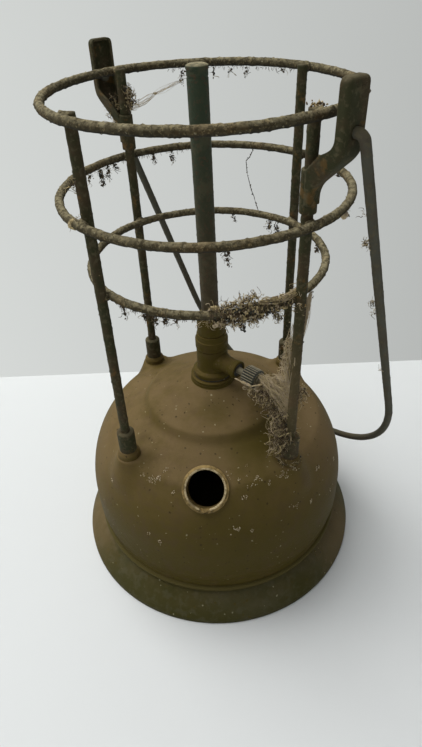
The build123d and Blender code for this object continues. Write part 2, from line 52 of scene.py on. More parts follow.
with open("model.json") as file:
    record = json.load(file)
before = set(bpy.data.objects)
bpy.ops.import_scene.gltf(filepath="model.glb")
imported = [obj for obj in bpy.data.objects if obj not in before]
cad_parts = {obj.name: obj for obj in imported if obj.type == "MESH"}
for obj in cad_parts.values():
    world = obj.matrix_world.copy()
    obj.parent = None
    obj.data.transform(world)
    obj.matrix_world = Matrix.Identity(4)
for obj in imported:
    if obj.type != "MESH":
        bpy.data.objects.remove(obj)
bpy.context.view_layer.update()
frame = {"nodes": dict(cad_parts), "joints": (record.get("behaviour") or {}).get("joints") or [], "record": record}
NODES = frame["nodes"]
JOINTS = {joint["name"]: joint for joint in frame["joints"]}

MM = 0.001
POST_NAMES = ["rear_right", "rear_left", "front_left", "front_right"]
LUG_NAMES = ["rear_left", "front_right"]
RING_NAMES = ["top_ring", "middle_ring", "bottom_ring"]


# ---- places in the frame


@functools.cache
def box(node):
    """Lowest and highest corners of a CAD node's box."""
    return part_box(node)


def low(node):
    """Height of a CAD node's lowest point."""
    return box(node)[0].z


def high(node):
    """Height of a CAD node's highest point."""
    return box(node)[1].z


def middle(node):
    """Centre of a CAD node's box."""
    return (box(node)[0] + box(node)[1]) / 2


def half_width(node):
    """Half of a CAD node's width along X."""
    return (box(node)[1].x - box(node)[0].x) / 2


def post_place(name, height=0.0):
    """Centre of a post in plan, at a height."""
    centre = middle("post_" + name)
    return Vector((centre.x, centre.y, height))


def ring_radius(name):
    """Radius of the middle of a ring's wire."""
    return half_width(name) - sizes()[1].ring_wire


def polar(radius, angle, height=0.0):
    """Place at a radius and an angle round the axis, and at a height."""
    return Vector((radius * math.cos(angle), radius * math.sin(angle), height))


def even_turn(count):
    """Angles of even steps round a full turn."""
    return [2 * math.pi * i / count for i in range(count)]


def joint_frame(name):
    """Matrix with its origin on a hinge and its Z along the hinge's axis."""
    joint = JOINTS[name]
    axis = Vector(joint["axis"])
    return Matrix.Translation(joint["pos_m"]) @ axis.to_track_quat("Z", "Y").to_matrix().to_4x4()


# ---- sizes and colours


def length(name, description, millimetres):
    """A size in metres, with its default given in millimetres."""
    kind = {"unit": "LENGTH", "subtype": "DISTANCE"}
    return FloatProperty(name=name, description=description, default=millimetres * MM, **kind)


def turning(name, description, degrees):
    """An angle, with its default given in degrees."""
    default = math.radians(degrees)
    return FloatProperty(name=name, description=description, default=default, subtype="ANGLE")


def number(name, description, default, unit="NONE"):
    """A number, with Blender's unit for it where one fits."""
    return FloatProperty(name=name, description=description, default=default, unit=unit)


def colour(name, description, default):
    """A linear colour."""
    return FloatVectorProperty(
        name=name, description=description, default=default, size=3, min=0, max=1, subtype="COLOR"
    )


class HeaterTankSizes(bpy.types.PropertyGroup):
    """Sizes of the tank, its foot and its filler."""

    tank_radius: length("Tank radius", "Outside of the straight wall", 84.5)
    wall_top: length("Wall top", "Height where the shoulder starts", 50.0)
    wall_low: length("Wall foot", "Height where the wall starts to draw in", 35.0)
    seam_radius: length("Seam radius", "Outside of the wall at the seam", 82.4)
    shoulder_radius: length("Shoulder radius", "Rounding of the shoulder", 71.5)
    knuckle_radius: length("Knuckle radius", "Radius where the shoulder ends", 67.4)
    valley_radius: length("Valley radius", "Radius of the valley round the mound", 45.0)
    valley_height: length("Valley height", "Height of the valley", 107.0)
    brow_radius: length("Brow radius", "Radius of the mound's brow", 41.5)
    brow_height: length("Brow height", "Height of the mound's brow", 112.5)
    crest_radius: length("Crest radius", "Radius of the small cone under the boss", 19.5)
    crest_drop: length("Crest drop", "Foot of that cone below the crown", 1.5)
    wall: length("Wall", "Thickness of the sheet", 1.0)
    pad_radius: length("Pad radius", "Radius of the flat under a post's flange", 7.4)
    pad_blend: length("Pad blend", "Width over which a pad flows into the shoulder", 8.0)
    pad_depth: length("Pad depth", "Depth of a pad below its top", 30.0)
    foot_band: length("Foot band", "Height of the plain band of the foot", 3.0)
    skirt_wall: length("Skirt wall", "Thickness of the skirt", 1.2)
    flare_bulge: length("Flare bulge", "Bulge of the flare beyond a straight line", 1.4)
    seam_low: length("Seam foot", "Height where the flare meets the seam collar", 17.0)
    cove: length("Cove", "How far the wall tucks in behind the collar", 0.8)
    collar: length("Collar", "Thickness of the seam collar", 0.6)
    bead_radius: length("Bead radius", "Radius of the seam's bead", 1.6)
    foot_line: length("Foot line", "Height where the collar's paint ends on the flare", 16.4)
    bead_height: length("Bead height", "Height of the bead", 20.4)
    bore: length("Filler bore", "Radius of the filler's hole", 10.7)
    rim: length("Filler rim", "Radius of the filler's rim", 13.5)
    rim_rise: length("Rim rise", "Height of the rim above the tank", 1.2)
    thread_pitch: length("Thread pitch", "Pitch of the filler's thread", 1.4)


class HeaterCageSizes(bpy.types.PropertyGroup):
    """Sizes of the posts, the rings, the lugs and the bail."""

    ring_wire: length("Ring wire", "Radius of the rings' wire", 2.15)
    bail_wire: length("Bail wire", "Radius of the bail's wire", 2.15)
    socket: length("Socket", "Radius of a post's socket", 5.0)
    flange: length("Flange", "Radius of a post's flange", 6.6)
    flange_rim: length("Flange rim", "Height of the flange's plain edge", 2.6)
    braze: length("Braze", "Radius of the lump of braze at a post", 2.9)
    ear_reach: length("Ear reach", "Outer face of a lug's ear, out from its post's centre", 19.5)
    ear_width: length("Ear width", "Width of a lug's ear", 12.4)
    ear_depth: length("Ear depth", "Depth of a lug's ear", 4.4)
    ear_corner: length("Ear corner", "Rounding of the pressed corners", 1.9)
    ear_round: length("Ear round", "Rounding of the ear's top corners in front view", 4.4)
    ear_above: length("Ear above", "Top of the ear above the post's top", 12.8)
    ear_below: length("Ear below", "Foot of the ear below the post's top", 13.6)
    crank_drop: length("Crank drop", "Height of the crank between ear and sleeve", 15.4)
    sleeve: length("Sleeve", "Radius of the sleeve on the post", 3.75)
    sleeve_top: length("Sleeve top", "Sleeve's top below the post's top", 22.0)
    sleeve_foot: length("Sleeve foot", "Sleeve's foot below the post's top", 40.0)
    sheet: length("Sheet", "Thickness of the lugs' sheet", 1.2)
    bail_gap: length("Bail gap", "Gap between an ear and the bail's leg", 1.6)
    bail_leg: length("Bail leg", "Length of the bail's straight legs", 168.5)
    bail_bend: length("Bail bend", "Radius of the bends at the bail's ends", 3.5)
    bail_end: length("Bail end", "Length of wire inside an ear", 3.0)
    lumps: length("Lumps", "Height of the scale on rods and wires", 0.34)
    rod_dirt: length("Rod dirt", "Thickness of the dirt on the posts", 0.2)


class HeaterColumnSizes(bpy.types.PropertyGroup):
    """Sizes of the cock, the knob and the vaporiser."""

    boss: length("Boss", "Radius of the crown boss", 13.6)
    cock_flange: length("Cock flange", "Radius of the cock's flange", 12.0)
    cock_flange_height: length("Cock flange height", "Height of the cock's flange", 3.8)
    cock: length("Cock", "Radius of the cock's column", 9.4)
    cock_height: length("Cock height", "Height of the column above the flange", 14.5)
    arm: length("Arm", "Radius of the cock's arm", 5.2)
    arm_well: length("Arm well", "Radius of the recess in the arm's end", 4.0)
    arm_end: length("Arm end", "End of the arm, out from the column's axis", 21.4)
    spindle: length("Spindle", "Radius of the spindle", 2.0)
    knob: length("Knob", "Radius of the control knob", 6.2)
    knob_length: length("Knob length", "Length of the control knob", 11.1)
    nut: length("Nut", "Radius of the union nut", 9.8)
    nut_cone: length("Nut cone", "Height of the nut's coned shoulder", 3.7)
    neck: length("Neck", "Radius of the vaporiser's sleeve", 8.3)
    neck_taper: length("Neck taper", "Height of the sleeve's taper", 3.0)
    tube: length("Tube", "Radius of the vaporiser tube", 4.95)
    tube_lean: length("Tube lean", "How far the tube's top leans to the left", 1.6)
    knob_gap: length("Knob gap", "Spindle that shows behind the knob", 1.6)
    jet_cap: length("Jet cap", "Radius of the jet's cap", 5.25)
    flute_depth: length("Flute depth", "Depth of the knob's flutes", 0.85)
    flutes: IntProperty(name="Flutes", description="Flutes on the knob", default=24, min=6, max=60)


class HeaterColours(bpy.types.PropertyGroup):
    """Colours of the finishes."""

    tank: colour("Tank", "Khaki paint of the tank", (0.131, 0.090, 0.028))
    # Tank, dark serves for random dark blotches and specks, as the ground of the stained paint, and for painted
    # shade low on the tank, in its valley and in its dark blots.
    tank_dark: colour("Tank, dark", "Stained paint of the tank", (0.070, 0.052, 0.008))
    tank_collar: colour("Collar", "Paint of the collar round the seam", (0.088, 0.070, 0.020))
    dust: colour("Dust", "Pale brown dust", (0.206, 0.141, 0.070))
    lime: colour("Lime", "Dried lime spots", (0.55, 0.50, 0.32))
    grit: colour("Grit", "Dark grit on the tank", (0.028, 0.019, 0.008))
    skirt: colour("Skirt", "Grey-green paint of the foot", (0.050, 0.045, 0.011))
    skirt_pale: colour("Skirt, pale", "Bloom on the paint of the foot", (0.094, 0.086, 0.050))
    cage: colour("Cage", "Dark paint of the posts and lugs", (0.040, 0.040, 0.018))
    bail: colour("Bail", "Worn paint of the bail", (0.085, 0.083, 0.062))
    cage_pale: colour("Cage, pale", "Dirt on the dark paint", (0.120, 0.102, 0.058))
    wire: colour("Wire", "Dusty wire of the rings", (0.330, 0.285, 0.170))
    wire_dark: colour("Wire, dark", "Bare dark wire of the rings", (0.055, 0.044, 0.024))
    rust: colour("Rust", "Orange rust", (0.260, 0.130, 0.035))
    brown: colour("Brown", "Brown stain", (0.085, 0.052, 0.030))
    vaporiser: colour("Vaporiser", "Heat-darkened tube", (0.034, 0.048, 0.026))
    vaporiser_brown: colour("Vaporiser, brown", "Scorched foot of the tube", (0.058, 0.042, 0.020))
    brass: colour("Brass", "Worn brass", (0.330, 0.225, 0.085))
    brass_bright: colour("Bright brass", "Brass rubbed by caps and funnels", (0.450, 0.360, 0.200))
    brass_dark: colour("Brass, dark", "Tarnished brass", (0.085, 0.060, 0.018))
    knob: colour("Knob", "Dull plating of the knob", (0.215, 0.190, 0.120))
    seal: colour("Seal", "Old seals", (0.030, 0.029, 0.024))
    straw: colour("Straw", "Dry husks and straw", (0.520, 0.410, 0.200))
    husk: colour("Husk", "Dark husks", (0.110, 0.078, 0.036))
    web: colour("Web", "Old spider's web", (0.50, 0.40, 0.27))


class HeaterStageSizes(bpy.types.PropertyGroup):
    """Places of the camera, the backdrop and the lamps."""

    camera_distance: length("Camera distance", "Camera from the heater's axis, in plan", 272.5)
    camera_height: length("Camera height", "Camera above the floor", 336.8)
    camera_heading: turning("Heading", "Camera round the heater", 5.9)
    camera_turn: turning("Turn", "Camera turned off the axis", 0.27)
    camera_pitch: turning("Pitch", "Camera looking down", 37.78)
    camera_roll: turning("Roll", "Camera rolled about its own axis", -2.505)
    lens: number("Lens", "Focal length in millimetres", 26.55, "CAMERA")
    sensor: number("Sensor", "Width of the camera's sensor in millimetres", 36.0, "CAMERA")
    backdrop_distance: length("Backdrop distance", "Backdrop behind the heater's axis", 170.0)
    floor_colour: colour("Floor", "Pale paper of the floor", (0.735, 0.750, 0.740))
    backdrop_colour: colour("Backdrop", "Pale paper of the backdrop", (0.610, 0.630, 0.615))
    key_power: number("Key", "Power of the lamp overhead in watts", 40.0, "POWER")
    fill_power: number("Fill", "Power of the lamp in front in watts", 3.0, "POWER")
    lamp_size: length("Lamp size", "Side of a lamp's square", 1600.0)
    lamp_aim: length("Lamp aim", "Height that the lamps shine at", 120.0)
    room_colour: colour("Room colour", "Colour of the light from all round", (0.92, 0.95, 1.0))
    room_light: number("Room light", "Light from all round", 0.24)


def sizes():
    """The groups of sizes: tank, cage and column."""
    scene = bpy.context.scene
    return scene.heater_tank, scene.heater_cage, scene.heater_column


# ---- shader nodes


def node(tree, kind, inputs=None, **settings):
    """Adds a shader node, with its settings, and sets or links its inputs."""
    made = tree.nodes.new(kind)
    for name, value in settings.items():
        setattr(made, name, value)
    for key, value in (inputs or {}).items():
        if isinstance(value, bpy.types.NodeSocket):
            tree.links.new(value, made.inputs[key])
        else:
            made.inputs[key].default_value = value
    return made


def maths(tree, operation, first, second=0.0):
    """Output of a Math node on two values or sockets."""
    return node(tree, "ShaderNodeMath", {0: first, 1: second}, operation=operation).outputs[0]


def mix_shaders(tree, share, first, second):
    """Output of a mix of two shaders."""
    return node(tree, "ShaderNodeMixShader", {0: share, 1: first, 2: second}).outputs[0]


def between(tree, value, start, end):
    """Value's place from start to end, smooth and kept from 0 to 1."""
    inputs = {"Value": value, "From Min": start, "From Max": end}
    made = node(tree, "ShaderNodeMapRange", inputs, interpolation_type="SMOOTHSTEP")
    return made.outputs["Result"]


def surface_place(tree):
    """Position on the piece, which moves with it."""
    return tree.nodes.new("ShaderNodeTexCoord").outputs["Object"]


def surface_parts(tree):
    """X, Y and Z outputs of the position on the piece."""
    return node(tree, "ShaderNodeSeparateXYZ", {0: surface_place(tree)}).outputs


def facing_up(tree):
    """1 where the piece faces up, -1 where it faces down."""
    normal = tree.nodes.new("ShaderNodeTexCoord").outputs["Normal"]
    return node(tree, "ShaderNodeSeparateXYZ", {0: normal}).outputs["Z"]


def fractal(tree, scale, detail=4.0, roughness=0.6, shift=0.0):
    """Factor of fractal noise over the piece."""
    place = surface_place(tree)
    moved = node(tree, "ShaderNodeVectorMath", {0: place, 1: [shift] * 3}, operation="ADD")
    inputs = {"Vector": moved.outputs[0], "Scale": scale, "Detail": detail, "Roughness": roughness}
    return node(tree, "ShaderNodeTexNoise", inputs).outputs[0]


def build_mottle(tree, given):
    """Blotches of uneven age."""
    value = fractal(tree, given["Scale"], detail=6.0, roughness=0.62)
    start = maths(tree, "SUBTRACT", given["Level"], given["Softness"])
    stop = maths(tree, "ADD", given["Level"], given["Softness"])
    return between(tree, value, start, stop)


def build_dust(tree, given):
    """Dust that has settled on what faces up."""
    lying = between(tree, facing_up(tree), given["Tilt"], 1.0)
    patches = between(tree, fractal(tree, given["Scale"], 5.0, 0.65, 3.0), 0.28, 0.62)
    return maths(tree, "MULTIPLY", lying, patches)


def build_underside_shade(tree, given):
    """Painted shade under what faces down."""
    return between(tree, facing_up(tree), given["Start"], given["Full"])


def build_worn_edges(tree, given):
    """Edges and high spots that are rubbed."""
    sharp = tree.nodes.new("ShaderNodeNewGeometry").outputs["Pointiness"]
    stop = maths(tree, "ADD", given["Edge"], given["Width"])
    edges = between(tree, sharp, given["Edge"], stop)
    broken = between(tree, fractal(tree, given["Scale"], 4.0, 0.6, 7.0), 0.35, 0.6)
    return maths(tree, "MULTIPLY", edges, broken)


SPECK_PULL = 1.6 * MM  # how far noise pulls the edges of the specks about


def build_specks(tree, given):
    """Small round specks, each in its own cell, of which only some show."""
    place = surface_place(tree)
    ragged = node(tree, "ShaderNodeTexNoise", {"Vector": place, "Scale": given["Scale"]})
    inputs = {0: ragged.outputs["Color"], "Scale": SPECK_PULL}
    pulled = node(tree, "ShaderNodeVectorMath", inputs, operation="SCALE")
    moved = node(tree, "ShaderNodeVectorMath", {0: place, 1: pulled.outputs[0]}, operation="ADD")
    inputs = {"Vector": moved.outputs[0], "Scale": given["Scale"], "Randomness": 1.0}
    cells = node(tree, "ShaderNodeTexVoronoi", inputs)
    chance = node(tree, "ShaderNodeSeparateColor", {0: cells.outputs["Color"]})
    size = maths(tree, "MULTIPLY", given["Size"], chance.outputs["Green"])
    near = maths(tree, "LESS_THAN", cells.outputs["Distance"], size)
    shown = maths(tree, "LESS_THAN", chance.outputs["Red"], given["Share"])
    return maths(tree, "MULTIPLY", near, shown)


def build_crust(tree, given):
    """Height of scale, grit and old brush marks."""
    coarse = fractal(tree, given["Coarse"], 5.0, 0.6, 2.0)
    fine = fractal(tree, given["Fine"], 3.0, 0.6, 4.0)
    mixed = node(tree, "ShaderNodeMix", {0: given["Share"], 2: coarse, 3: fine})
    return mixed.outputs[0]


def build_span(tree, given):
    """Share of the way between two heights on the piece."""
    return between(tree, surface_parts(tree)["Z"], given["Low"], given["High"])


def build_hollow_shadow(tree, given):
    """Painted shadow in a hollow round the axis, strongest on the side that faces a heading."""
    parts = surface_parts(tree)
    across, along = parts["X"], parts["Y"]
    squares = [maths(tree, "MULTIPLY", part, part) for part in (across, along)]
    radius = maths(tree, "SQRT", maths(tree, "ADD", *squares))
    ramp = between(tree, radius, given["Inner"], given["Outer"])
    ring = maths(tree, "SINE", maths(tree, "MULTIPLY", ramp, math.pi))
    turn = maths(tree, "SUBTRACT", maths(tree, "ARCTAN2", along, across), given["Heading"])
    facing = between(tree, maths(tree, "COSINE", turn), 0.35, 1.0)
    return maths(tree, "MULTIPLY", ring, facing)


def build_blot(tree, given):
    """Soft patch round a place, with a ragged edge."""
    centre = node(tree, "ShaderNodeCombineXYZ", {0: given["X"], 1: given["Y"], 2: given["Z"]})
    ends = {0: surface_place(tree), 1: centre.outputs[0]}
    away = node(tree, "ShaderNodeVectorMath", ends, operation="DISTANCE").outputs["Value"]
    ragged = maths(tree, "SUBTRACT", fractal(tree, 45.0), 0.5)
    away = maths(tree, "ADD", away, maths(tree, "MULTIPLY", ragged, given["Reach"]))
    return between(tree, away, given["Reach"], 0.0)


# Shared effects: a group's name, what fills it, and its inputs with their defaults.
EFFECTS = {
    "mottle": ("Mottle", build_mottle, {"Scale": 60.0, "Level": 0.5, "Softness": 0.12}),
    "dust": ("Settled Dust", build_dust, {"Scale": 90.0, "Tilt": 0.2}),
    "underside": ("Underside Shade", build_underside_shade, {"Start": 0.0, "Full": -0.8}),
    "edges": ("Worn Edges", build_worn_edges, {"Edge": 0.53, "Width": 0.03, "Scale": 300.0}),
    "specks": ("Specks", build_specks, {"Scale": 500.0, "Size": 0.25, "Share": 0.2}),
    "blot": ("Blot", build_blot, {"X": 0.0, "Y": 0.0, "Z": 0.0, "Reach": 20 * MM}),
    "crust": ("Crust", build_crust, {"Coarse": 500.0, "Fine": 2200.0, "Share": 0.5}),
    "span": ("Height Span", build_span, {"Low": 0.0, "High": 100 * MM}),
    "hollow": ("Hollow Shadow", build_hollow_shadow, {"Inner": 36 * MM, "Outer": 60 * MM, "Heading": -0.8}),
}
GROUPS = {}


def effect(kind):
    """The node group of an effect, made when it is first asked for."""
    if kind not in GROUPS:
        name, fill, inputs = EFFECTS[kind]
        tree = bpy.data.node_groups.new(name, "ShaderNodeTree")
        plain = {"socket_type": "NodeSocketFloat"}
        for label, default in inputs.items():
            made = tree.interface.new_socket(name=label, in_out="INPUT", **plain)
            made.default_value = default
        tree.interface.new_socket(name="Amount", in_out="OUTPUT", **plain)
        given = tree.nodes.new("NodeGroupInput").outputs
        end = tree.nodes.new("NodeGroupOutput").inputs[0]
        tree.links.new(fill(tree, given), end)
        GROUPS[kind] = tree
    return GROUPS[kind]


def use(tree, kind, **values):
    """Output of an effect's node group, placed in this tree with its own values."""
    placed = node(tree, "ShaderNodeGroup", node_tree=effect(kind))
    for name, value in values.items():
        placed.inputs[name.capitalize()].default_value = value
    return placed.outputs[0]


class Finish:
    """A material that is built up from a ground colour and layers over it."""

    def __init__(self, name, ground, roughness, metallic=0.0, shine=0.5):
        self.material = bpy.data.materials.new(name)
        self.material.use_nodes = True
        self.material.displacement_method = "BUMP"
        self.tree = self.material.node_tree
        self.shader = self.tree.nodes["Principled BSDF"]
        self.shader.inputs["Metallic"].default_value = metallic
        self.shader.inputs["Specular IOR Level"].default_value = shine
        self.colour = (*ground, 1.0)
        self.roughness = roughness

    def layer(self, kind, colour, roughness, amount, **values):
        """Covers what is below with a colour where an effect's mask is."""
        share = maths(self.tree, "MULTIPLY", use(self.tree, kind, **values), amount)
        inputs = {0: share, 6: self.colour, 7: (*colour, 1.0)}
        mixed = node(self.tree, "ShaderNodeMix", inputs, data_type="RGBA")
        self.colour = mixed.outputs[2]
        inputs = {0: share, 2: self.roughness, 3: roughness}
        self.roughness = node(self.tree, "ShaderNodeMix", inputs).outputs[0]

    def blots(self, places, colour, roughness):
        """Lays patches round (x, y, z, reach, amount) places, with lengths in millimetres."""
        for x, y, z, reach, amount in places:
            where = {"x": x * MM, "y": y * MM, "z": z * MM, "reach": reach * MM}
            self.layer("blot", colour, roughness, amount, **where)

    def relief(self, depth, coarse, fine, share):
        """Adds a crust of this depth in millimetres, and closes the material."""
        height = use(self.tree, "crust", coarse=coarse, fine=fine, share=share)
        bump = node(self.tree, "ShaderNodeBump", {"Height": height, "Distance": depth * MM})
        self.tree.links.new(bump.outputs[0], self.shader.inputs["Normal"])
        self.tree.links.new(self.colour, self.shader.inputs["Base Color"])
        self.tree.links.new(self.roughness, self.shader.inputs["Roughness"])
        return self.material


# Patches on the paint: x, y, z and reach in millimetres, and how strongly they show. The tank's dark patches are
# painted shade: the knob's shadow in the valley, the mound's front and the low front of the wall.
TANK_SHADE_BLOTS = [
    (31.5, -38.5, 105.0, 24, 0.75),
    (5.5, -25.5, 119.5, 18, 0.5),
    (33.0, -54.5, 98.0, 26, 0.6),
    (20.0, -80.0, 66.0, 52, 0.6),
]
# Pale patches on the tank: dust, with painted sheen on the left and right flanks.
TANK_DUST_AND_SHEEN = [(-8, -50, 104.5, 32, 0.4), (72, -14, 88, 42, 0.6), (-70, -31, 84, 45, 0.45)]
FOOT_DUST = [(-90, -26, 10, 50, 0.55), (87, -27, 9, 44, 0.5)]
POST_DUST = [(47, -47, 155, 60, 0.3)]


def tank_paint(c):
    """Old khaki paint with painted shade low down, in the valley and in dark blots, dusty above with pale patches
    of dust and painted sheen, with lime spots and grit.
    """
    paint = Finish("Tank paint", c.tank_dark, 0.6, shine=0.08)
    # Painted shade low down: the dark ground shows more and more below 100 mm, and alone below 35 mm.
    paint.layer("span", c.tank, 0.62, 0.75, low=35 * MM, high=100 * MM)
    paint.layer("mottle", c.tank_dark, 0.55, 0.5, scale=20, level=0.52, softness=0.14)
    paint.layer("mottle", c.brown, 0.6, 0.3, scale=150, level=0.55, softness=0.1)
    paint.layer("dust", c.dust, 0.85, 0.6, scale=38, tilt=0.25)
    # Painted shadow of the knob and its web, laid in the valley in front of the mound.
    paint.layer("hollow", c.tank_dark, 0.6, 0.75)
    # Dark blots of painted shade.
    paint.blots(TANK_SHADE_BLOTS, c.tank_dark, 0.55)
    # Pale blots of dust and painted sheen.
    paint.blots(TANK_DUST_AND_SHEEN, c.dust, 0.85)
    paint.layer("specks", c.grit, 0.6, 0.65, scale=560, size=0.38, share=0.10)
    paint.layer("specks", c.lime, 0.8, 0.4, scale=900, size=0.45, share=0.02)
    paint.layer("edges", c.dust, 0.5, 0.5, edge=0.54, width=0.05, scale=260)
    return paint.relief(0.3, coarse=420, fine=2600, share=0.45)


def stained_paint(c):
    """The tank's paint where oil has stained it dark."""
    paint = Finish("Stained paint", c.tank_dark, 0.6, shine=0.08)
    paint.layer("mottle", c.brown, 0.6, 0.3, scale=150, level=0.55, softness=0.1)
    paint.layer("dust", c.tank, 0.8, 0.7, scale=60, tilt=0.3)
    paint.layer("specks", c.husk, 0.6, 0.7, scale=560, size=0.42, share=0.06)
    paint.layer("edges", c.dust, 0.5, 0.6, edge=0.53, width=0.05, scale=260)
    return paint.relief(0.3, coarse=420, fine=2600, share=0.45)


def bail_paint(c):
    """Worn grey paint of the bail's wire."""
    paint = Finish("Bail paint", c.bail, 0.65, shine=0.08)
    paint.layer("mottle", c.brown, 0.7, 0.35, scale=90, level=0.52, softness=0.1)
    paint.layer("mottle", c.cage_pale, 0.8, 0.5, scale=420, level=0.57, softness=0.06)
    paint.layer("dust", c.cage_pale, 0.85, 0.8, scale=260, tilt=0.1)
    return paint.relief(0.4, coarse=900, fine=3200, share=0.4)


def skirt_paint(c):
    """Grey-green paint with a pale bloom, up to the khaki paint of the collar."""
    paint = Finish("Skirt paint", c.skirt, 0.6, shine=0.08)
    s = sizes()[0]
    paint.layer("mottle", c.skirt_pale, 0.75, 0.5, scale=14, level=0.53, softness=0.1)
    paint.layer("mottle", c.skirt_pale, 0.8, 0.4, scale=210, level=0.56, softness=0.08)
    paint.layer("dust", c.dust, 0.85, 0.15, scale=120, tilt=0.3)
    paint.layer("specks", c.tank_dark, 0.6, 0.8, scale=520, size=0.5, share=0.08)
    paint.layer("specks", c.lime, 0.8, 0.4, scale=800, size=0.45, share=0.02)
    paint.layer("edges", c.skirt_pale, 0.5, 0.6, edge=0.53, width=0.04, scale=200)
    paint.blots(FOOT_DUST, c.dust, 0.85)
    paint.layer("span", c.tank_collar, 0.6, 1.0, low=s.foot_line, high=s.foot_line + 1.2 * MM)
    return paint.relief(0.3, coarse=500, fine=2600, share=0.5)


def cage_paint(c):
    """Dark paint on rods, with dirt and a little rust."""
    paint = Finish("Cage paint", c.cage, 0.65, shine=0.08)
    paint.layer("mottle", c.brown, 0.7, 0.5, scale=90, level=0.52, softness=0.1)
    paint.layer("mottle", c.cage_pale, 0.8, 0.5, scale=420, level=0.57, softness=0.06)
    paint.layer("dust", c.cage_pale, 0.85, 0.8, scale=260, tilt=0.1)
    paint.layer("mottle", c.rust, 0.85, 0.3, scale=130, level=0.62, softness=0.05)
    paint.layer("edges", c.cage_pale, 0.7, 0.5, edge=0.54, width=0.05, scale=500)
    paint.blots(POST_DUST, c.dust, 0.85)
    return paint.relief(0.5, coarse=900, fine=3200, share=0.4)


def ring_wire(c):
    """Wire with pale dust above, painted shade below and rust in patches."""
    wire = Finish("Ring wire", c.wire_dark, 0.8, shine=0.08)
    wire.layer("mottle", c.cage_pale, 0.85, 0.6, scale=300, level=0.5, softness=0.08)
    wire.layer("dust", c.wire, 0.9, 0.9, scale=330, tilt=0.05)
    wire.layer("mottle", c.rust, 0.85, 0.18, scale=48, level=0.58, softness=0.08)
    wire.layer("mottle", c.cage_pale, 0.85, 0.45, scale=26, level=0.56, softness=0.06)
    wire.layer("mottle", c.wire_dark, 0.85, 0.75, scale=520, level=0.54, softness=0.05)
    wire.layer("mottle", c.straw, 0.85, 0.35, scale=900, level=0.60, softness=0.04)
    # Painted shade under the wire, in the seals' dark colour.
    wire.layer("underside", c.seal, 0.9, 0.85)
    wire.layer("specks", c.lime, 0.85, 0.35, scale=1100, size=0.5, share=0.08)
    return wire.relief(1.1, coarse=1000, fine=3200, share=0.35)


def vaporiser_paint(c):
    """Tube that is green-black above and scorched brown at its foot."""
    tube = Finish("Vaporiser", c.vaporiser_brown, 0.6, shine=0.15)
    foot = low("vaporiser_neck")
    tube.layer("span", c.vaporiser, 0.55, 1.0, low=foot, high=high("vaporiser_tube"))
    tube.layer("mottle", c.cage_pale, 0.8, 0.35, scale=120, level=0.55, softness=0.08)
    tube.layer("mottle", c.brown, 0.8, 0.6, scale=520, level=0.58, softness=0.05)
    tube.layer("dust", c.wire, 0.9, 0.9, scale=200, tilt=0.5)
    return tube.relief(0.6, coarse=800, fine=3200, share=0.4)


def worn_brass(c):
    """Tarnished brass under old paint, rubbed bright along its edges."""
    brass = Finish("Worn brass", c.brass_dark, 0.55, 0.3, shine=0.2)
    brass.layer("mottle", c.tank, 0.65, 0.4, scale=120, level=0.5, softness=0.1)
    brass.layer("mottle", c.brass, 0.45, 0.8, scale=420, level=0.50, softness=0.1)
    brass.layer("dust", c.brass, 0.5, 0.6, scale=90, tilt=0.1)
    brass.layer("edges", c.brass, 0.35, 0.9, edge=0.52, width=0.05, scale=300)
    return brass.relief(0.2, coarse=900, fine=3000, share=0.5)


def rubbed_brass(c):
    """Brass that caps and funnels have rubbed bright."""
    brass = Finish("Rubbed brass", c.brass_bright, 0.45, 0.4)
    brass.layer("mottle", c.brass_dark, 0.6, 0.8, scale=260, level=0.52, softness=0.06)
    brass.layer("mottle", c.dust, 0.7, 0.6, scale=700, level=0.55, softness=0.05)
    return brass.relief(0.3, coarse=900, fine=3000, share=0.5)


def dull_plating(c):
    """Dull plated metal with blotches of dirt."""
    metal = Finish("Dull plating", c.knob, 0.6, 0.1)
    metal.layer("mottle", c.cage_pale, 0.7, 0.7, scale=240, level=0.5, softness=0.12)
    metal.layer("mottle", c.husk, 0.8, 0.7, scale=600, level=0.58, softness=0.06)
    return metal.relief(0.15, coarse=900, fine=3000, share=0.5)


def old_seal(c):
    """Hard old rubber and fibre."""
    seal = Finish("Old seal", c.seal, 0.8)
    seal.layer("mottle", c.cage_pale, 0.85, 0.4, scale=300, level=0.55, softness=0.1)
    return seal.relief(0.1, coarse=900, fine=3000, share=0.5)


def plain_brass(c):
    """Brass inside the tank, under a film of oil."""
    brass = Finish("Plain brass", c.brass, 0.35, 0.9)
    brass.layer("mottle", c.brass_dark, 0.5, 0.5, scale=80, level=0.5, softness=0.2)
    return brass.relief(0.05, coarse=500, fine=2000, share=0.5)


def dry_litter(name, colour, other):
    """Dry plant matter or web of one colour, blotched with another."""
    litter = Finish(name, colour, 0.9)
    litter.layer("mottle", other, 0.9, 0.6, scale=520, level=0.5, softness=0.1)
    return litter.relief(0.3, coarse=2000, fine=6000, share=0.5)


FINISHES = {
    "tank_paint": tank_paint,
    "stained_paint": stained_paint,
    "bail_paint": bail_paint,
    "skirt_paint": skirt_paint,
    "cage_paint": cage_paint,
    "ring_wire": ring_wire,
    "vaporiser_paint": vaporiser_paint,
    "bare_brass": worn_brass,
    "rubbed_brass": rubbed_brass,
    "dull_metal": dull_plating,
    "inner_metal": plain_brass,
    "seal": old_seal,
    # Grime for the litter, and dirt with painted shade in the knob's flutes.
    "grime_and_shade": lambda c: dry_litter("Grime and Shade", c.seal, c.cage),
    "straw": lambda c: dry_litter("Straw", c.straw, c.husk),
    "husk": lambda c: dry_litter("Husk", c.husk, c.brown),
    "web": lambda c: dry_litter("Web", c.web, c.straw),
    "seed": lambda c: dry_litter("Seed", c.web, c.lime),
    "orange": lambda c: dry_litter("Orange", c.rust, c.straw),
}
MADE = {}


def finish(slot):
    """The material of a slot, made when it is first asked for."""
    if slot not in MADE:
        MADE[slot] = FINISHES[slot](bpy.context.scene.heater_colours)
    return MADE[slot]


# ---- mesh helpers


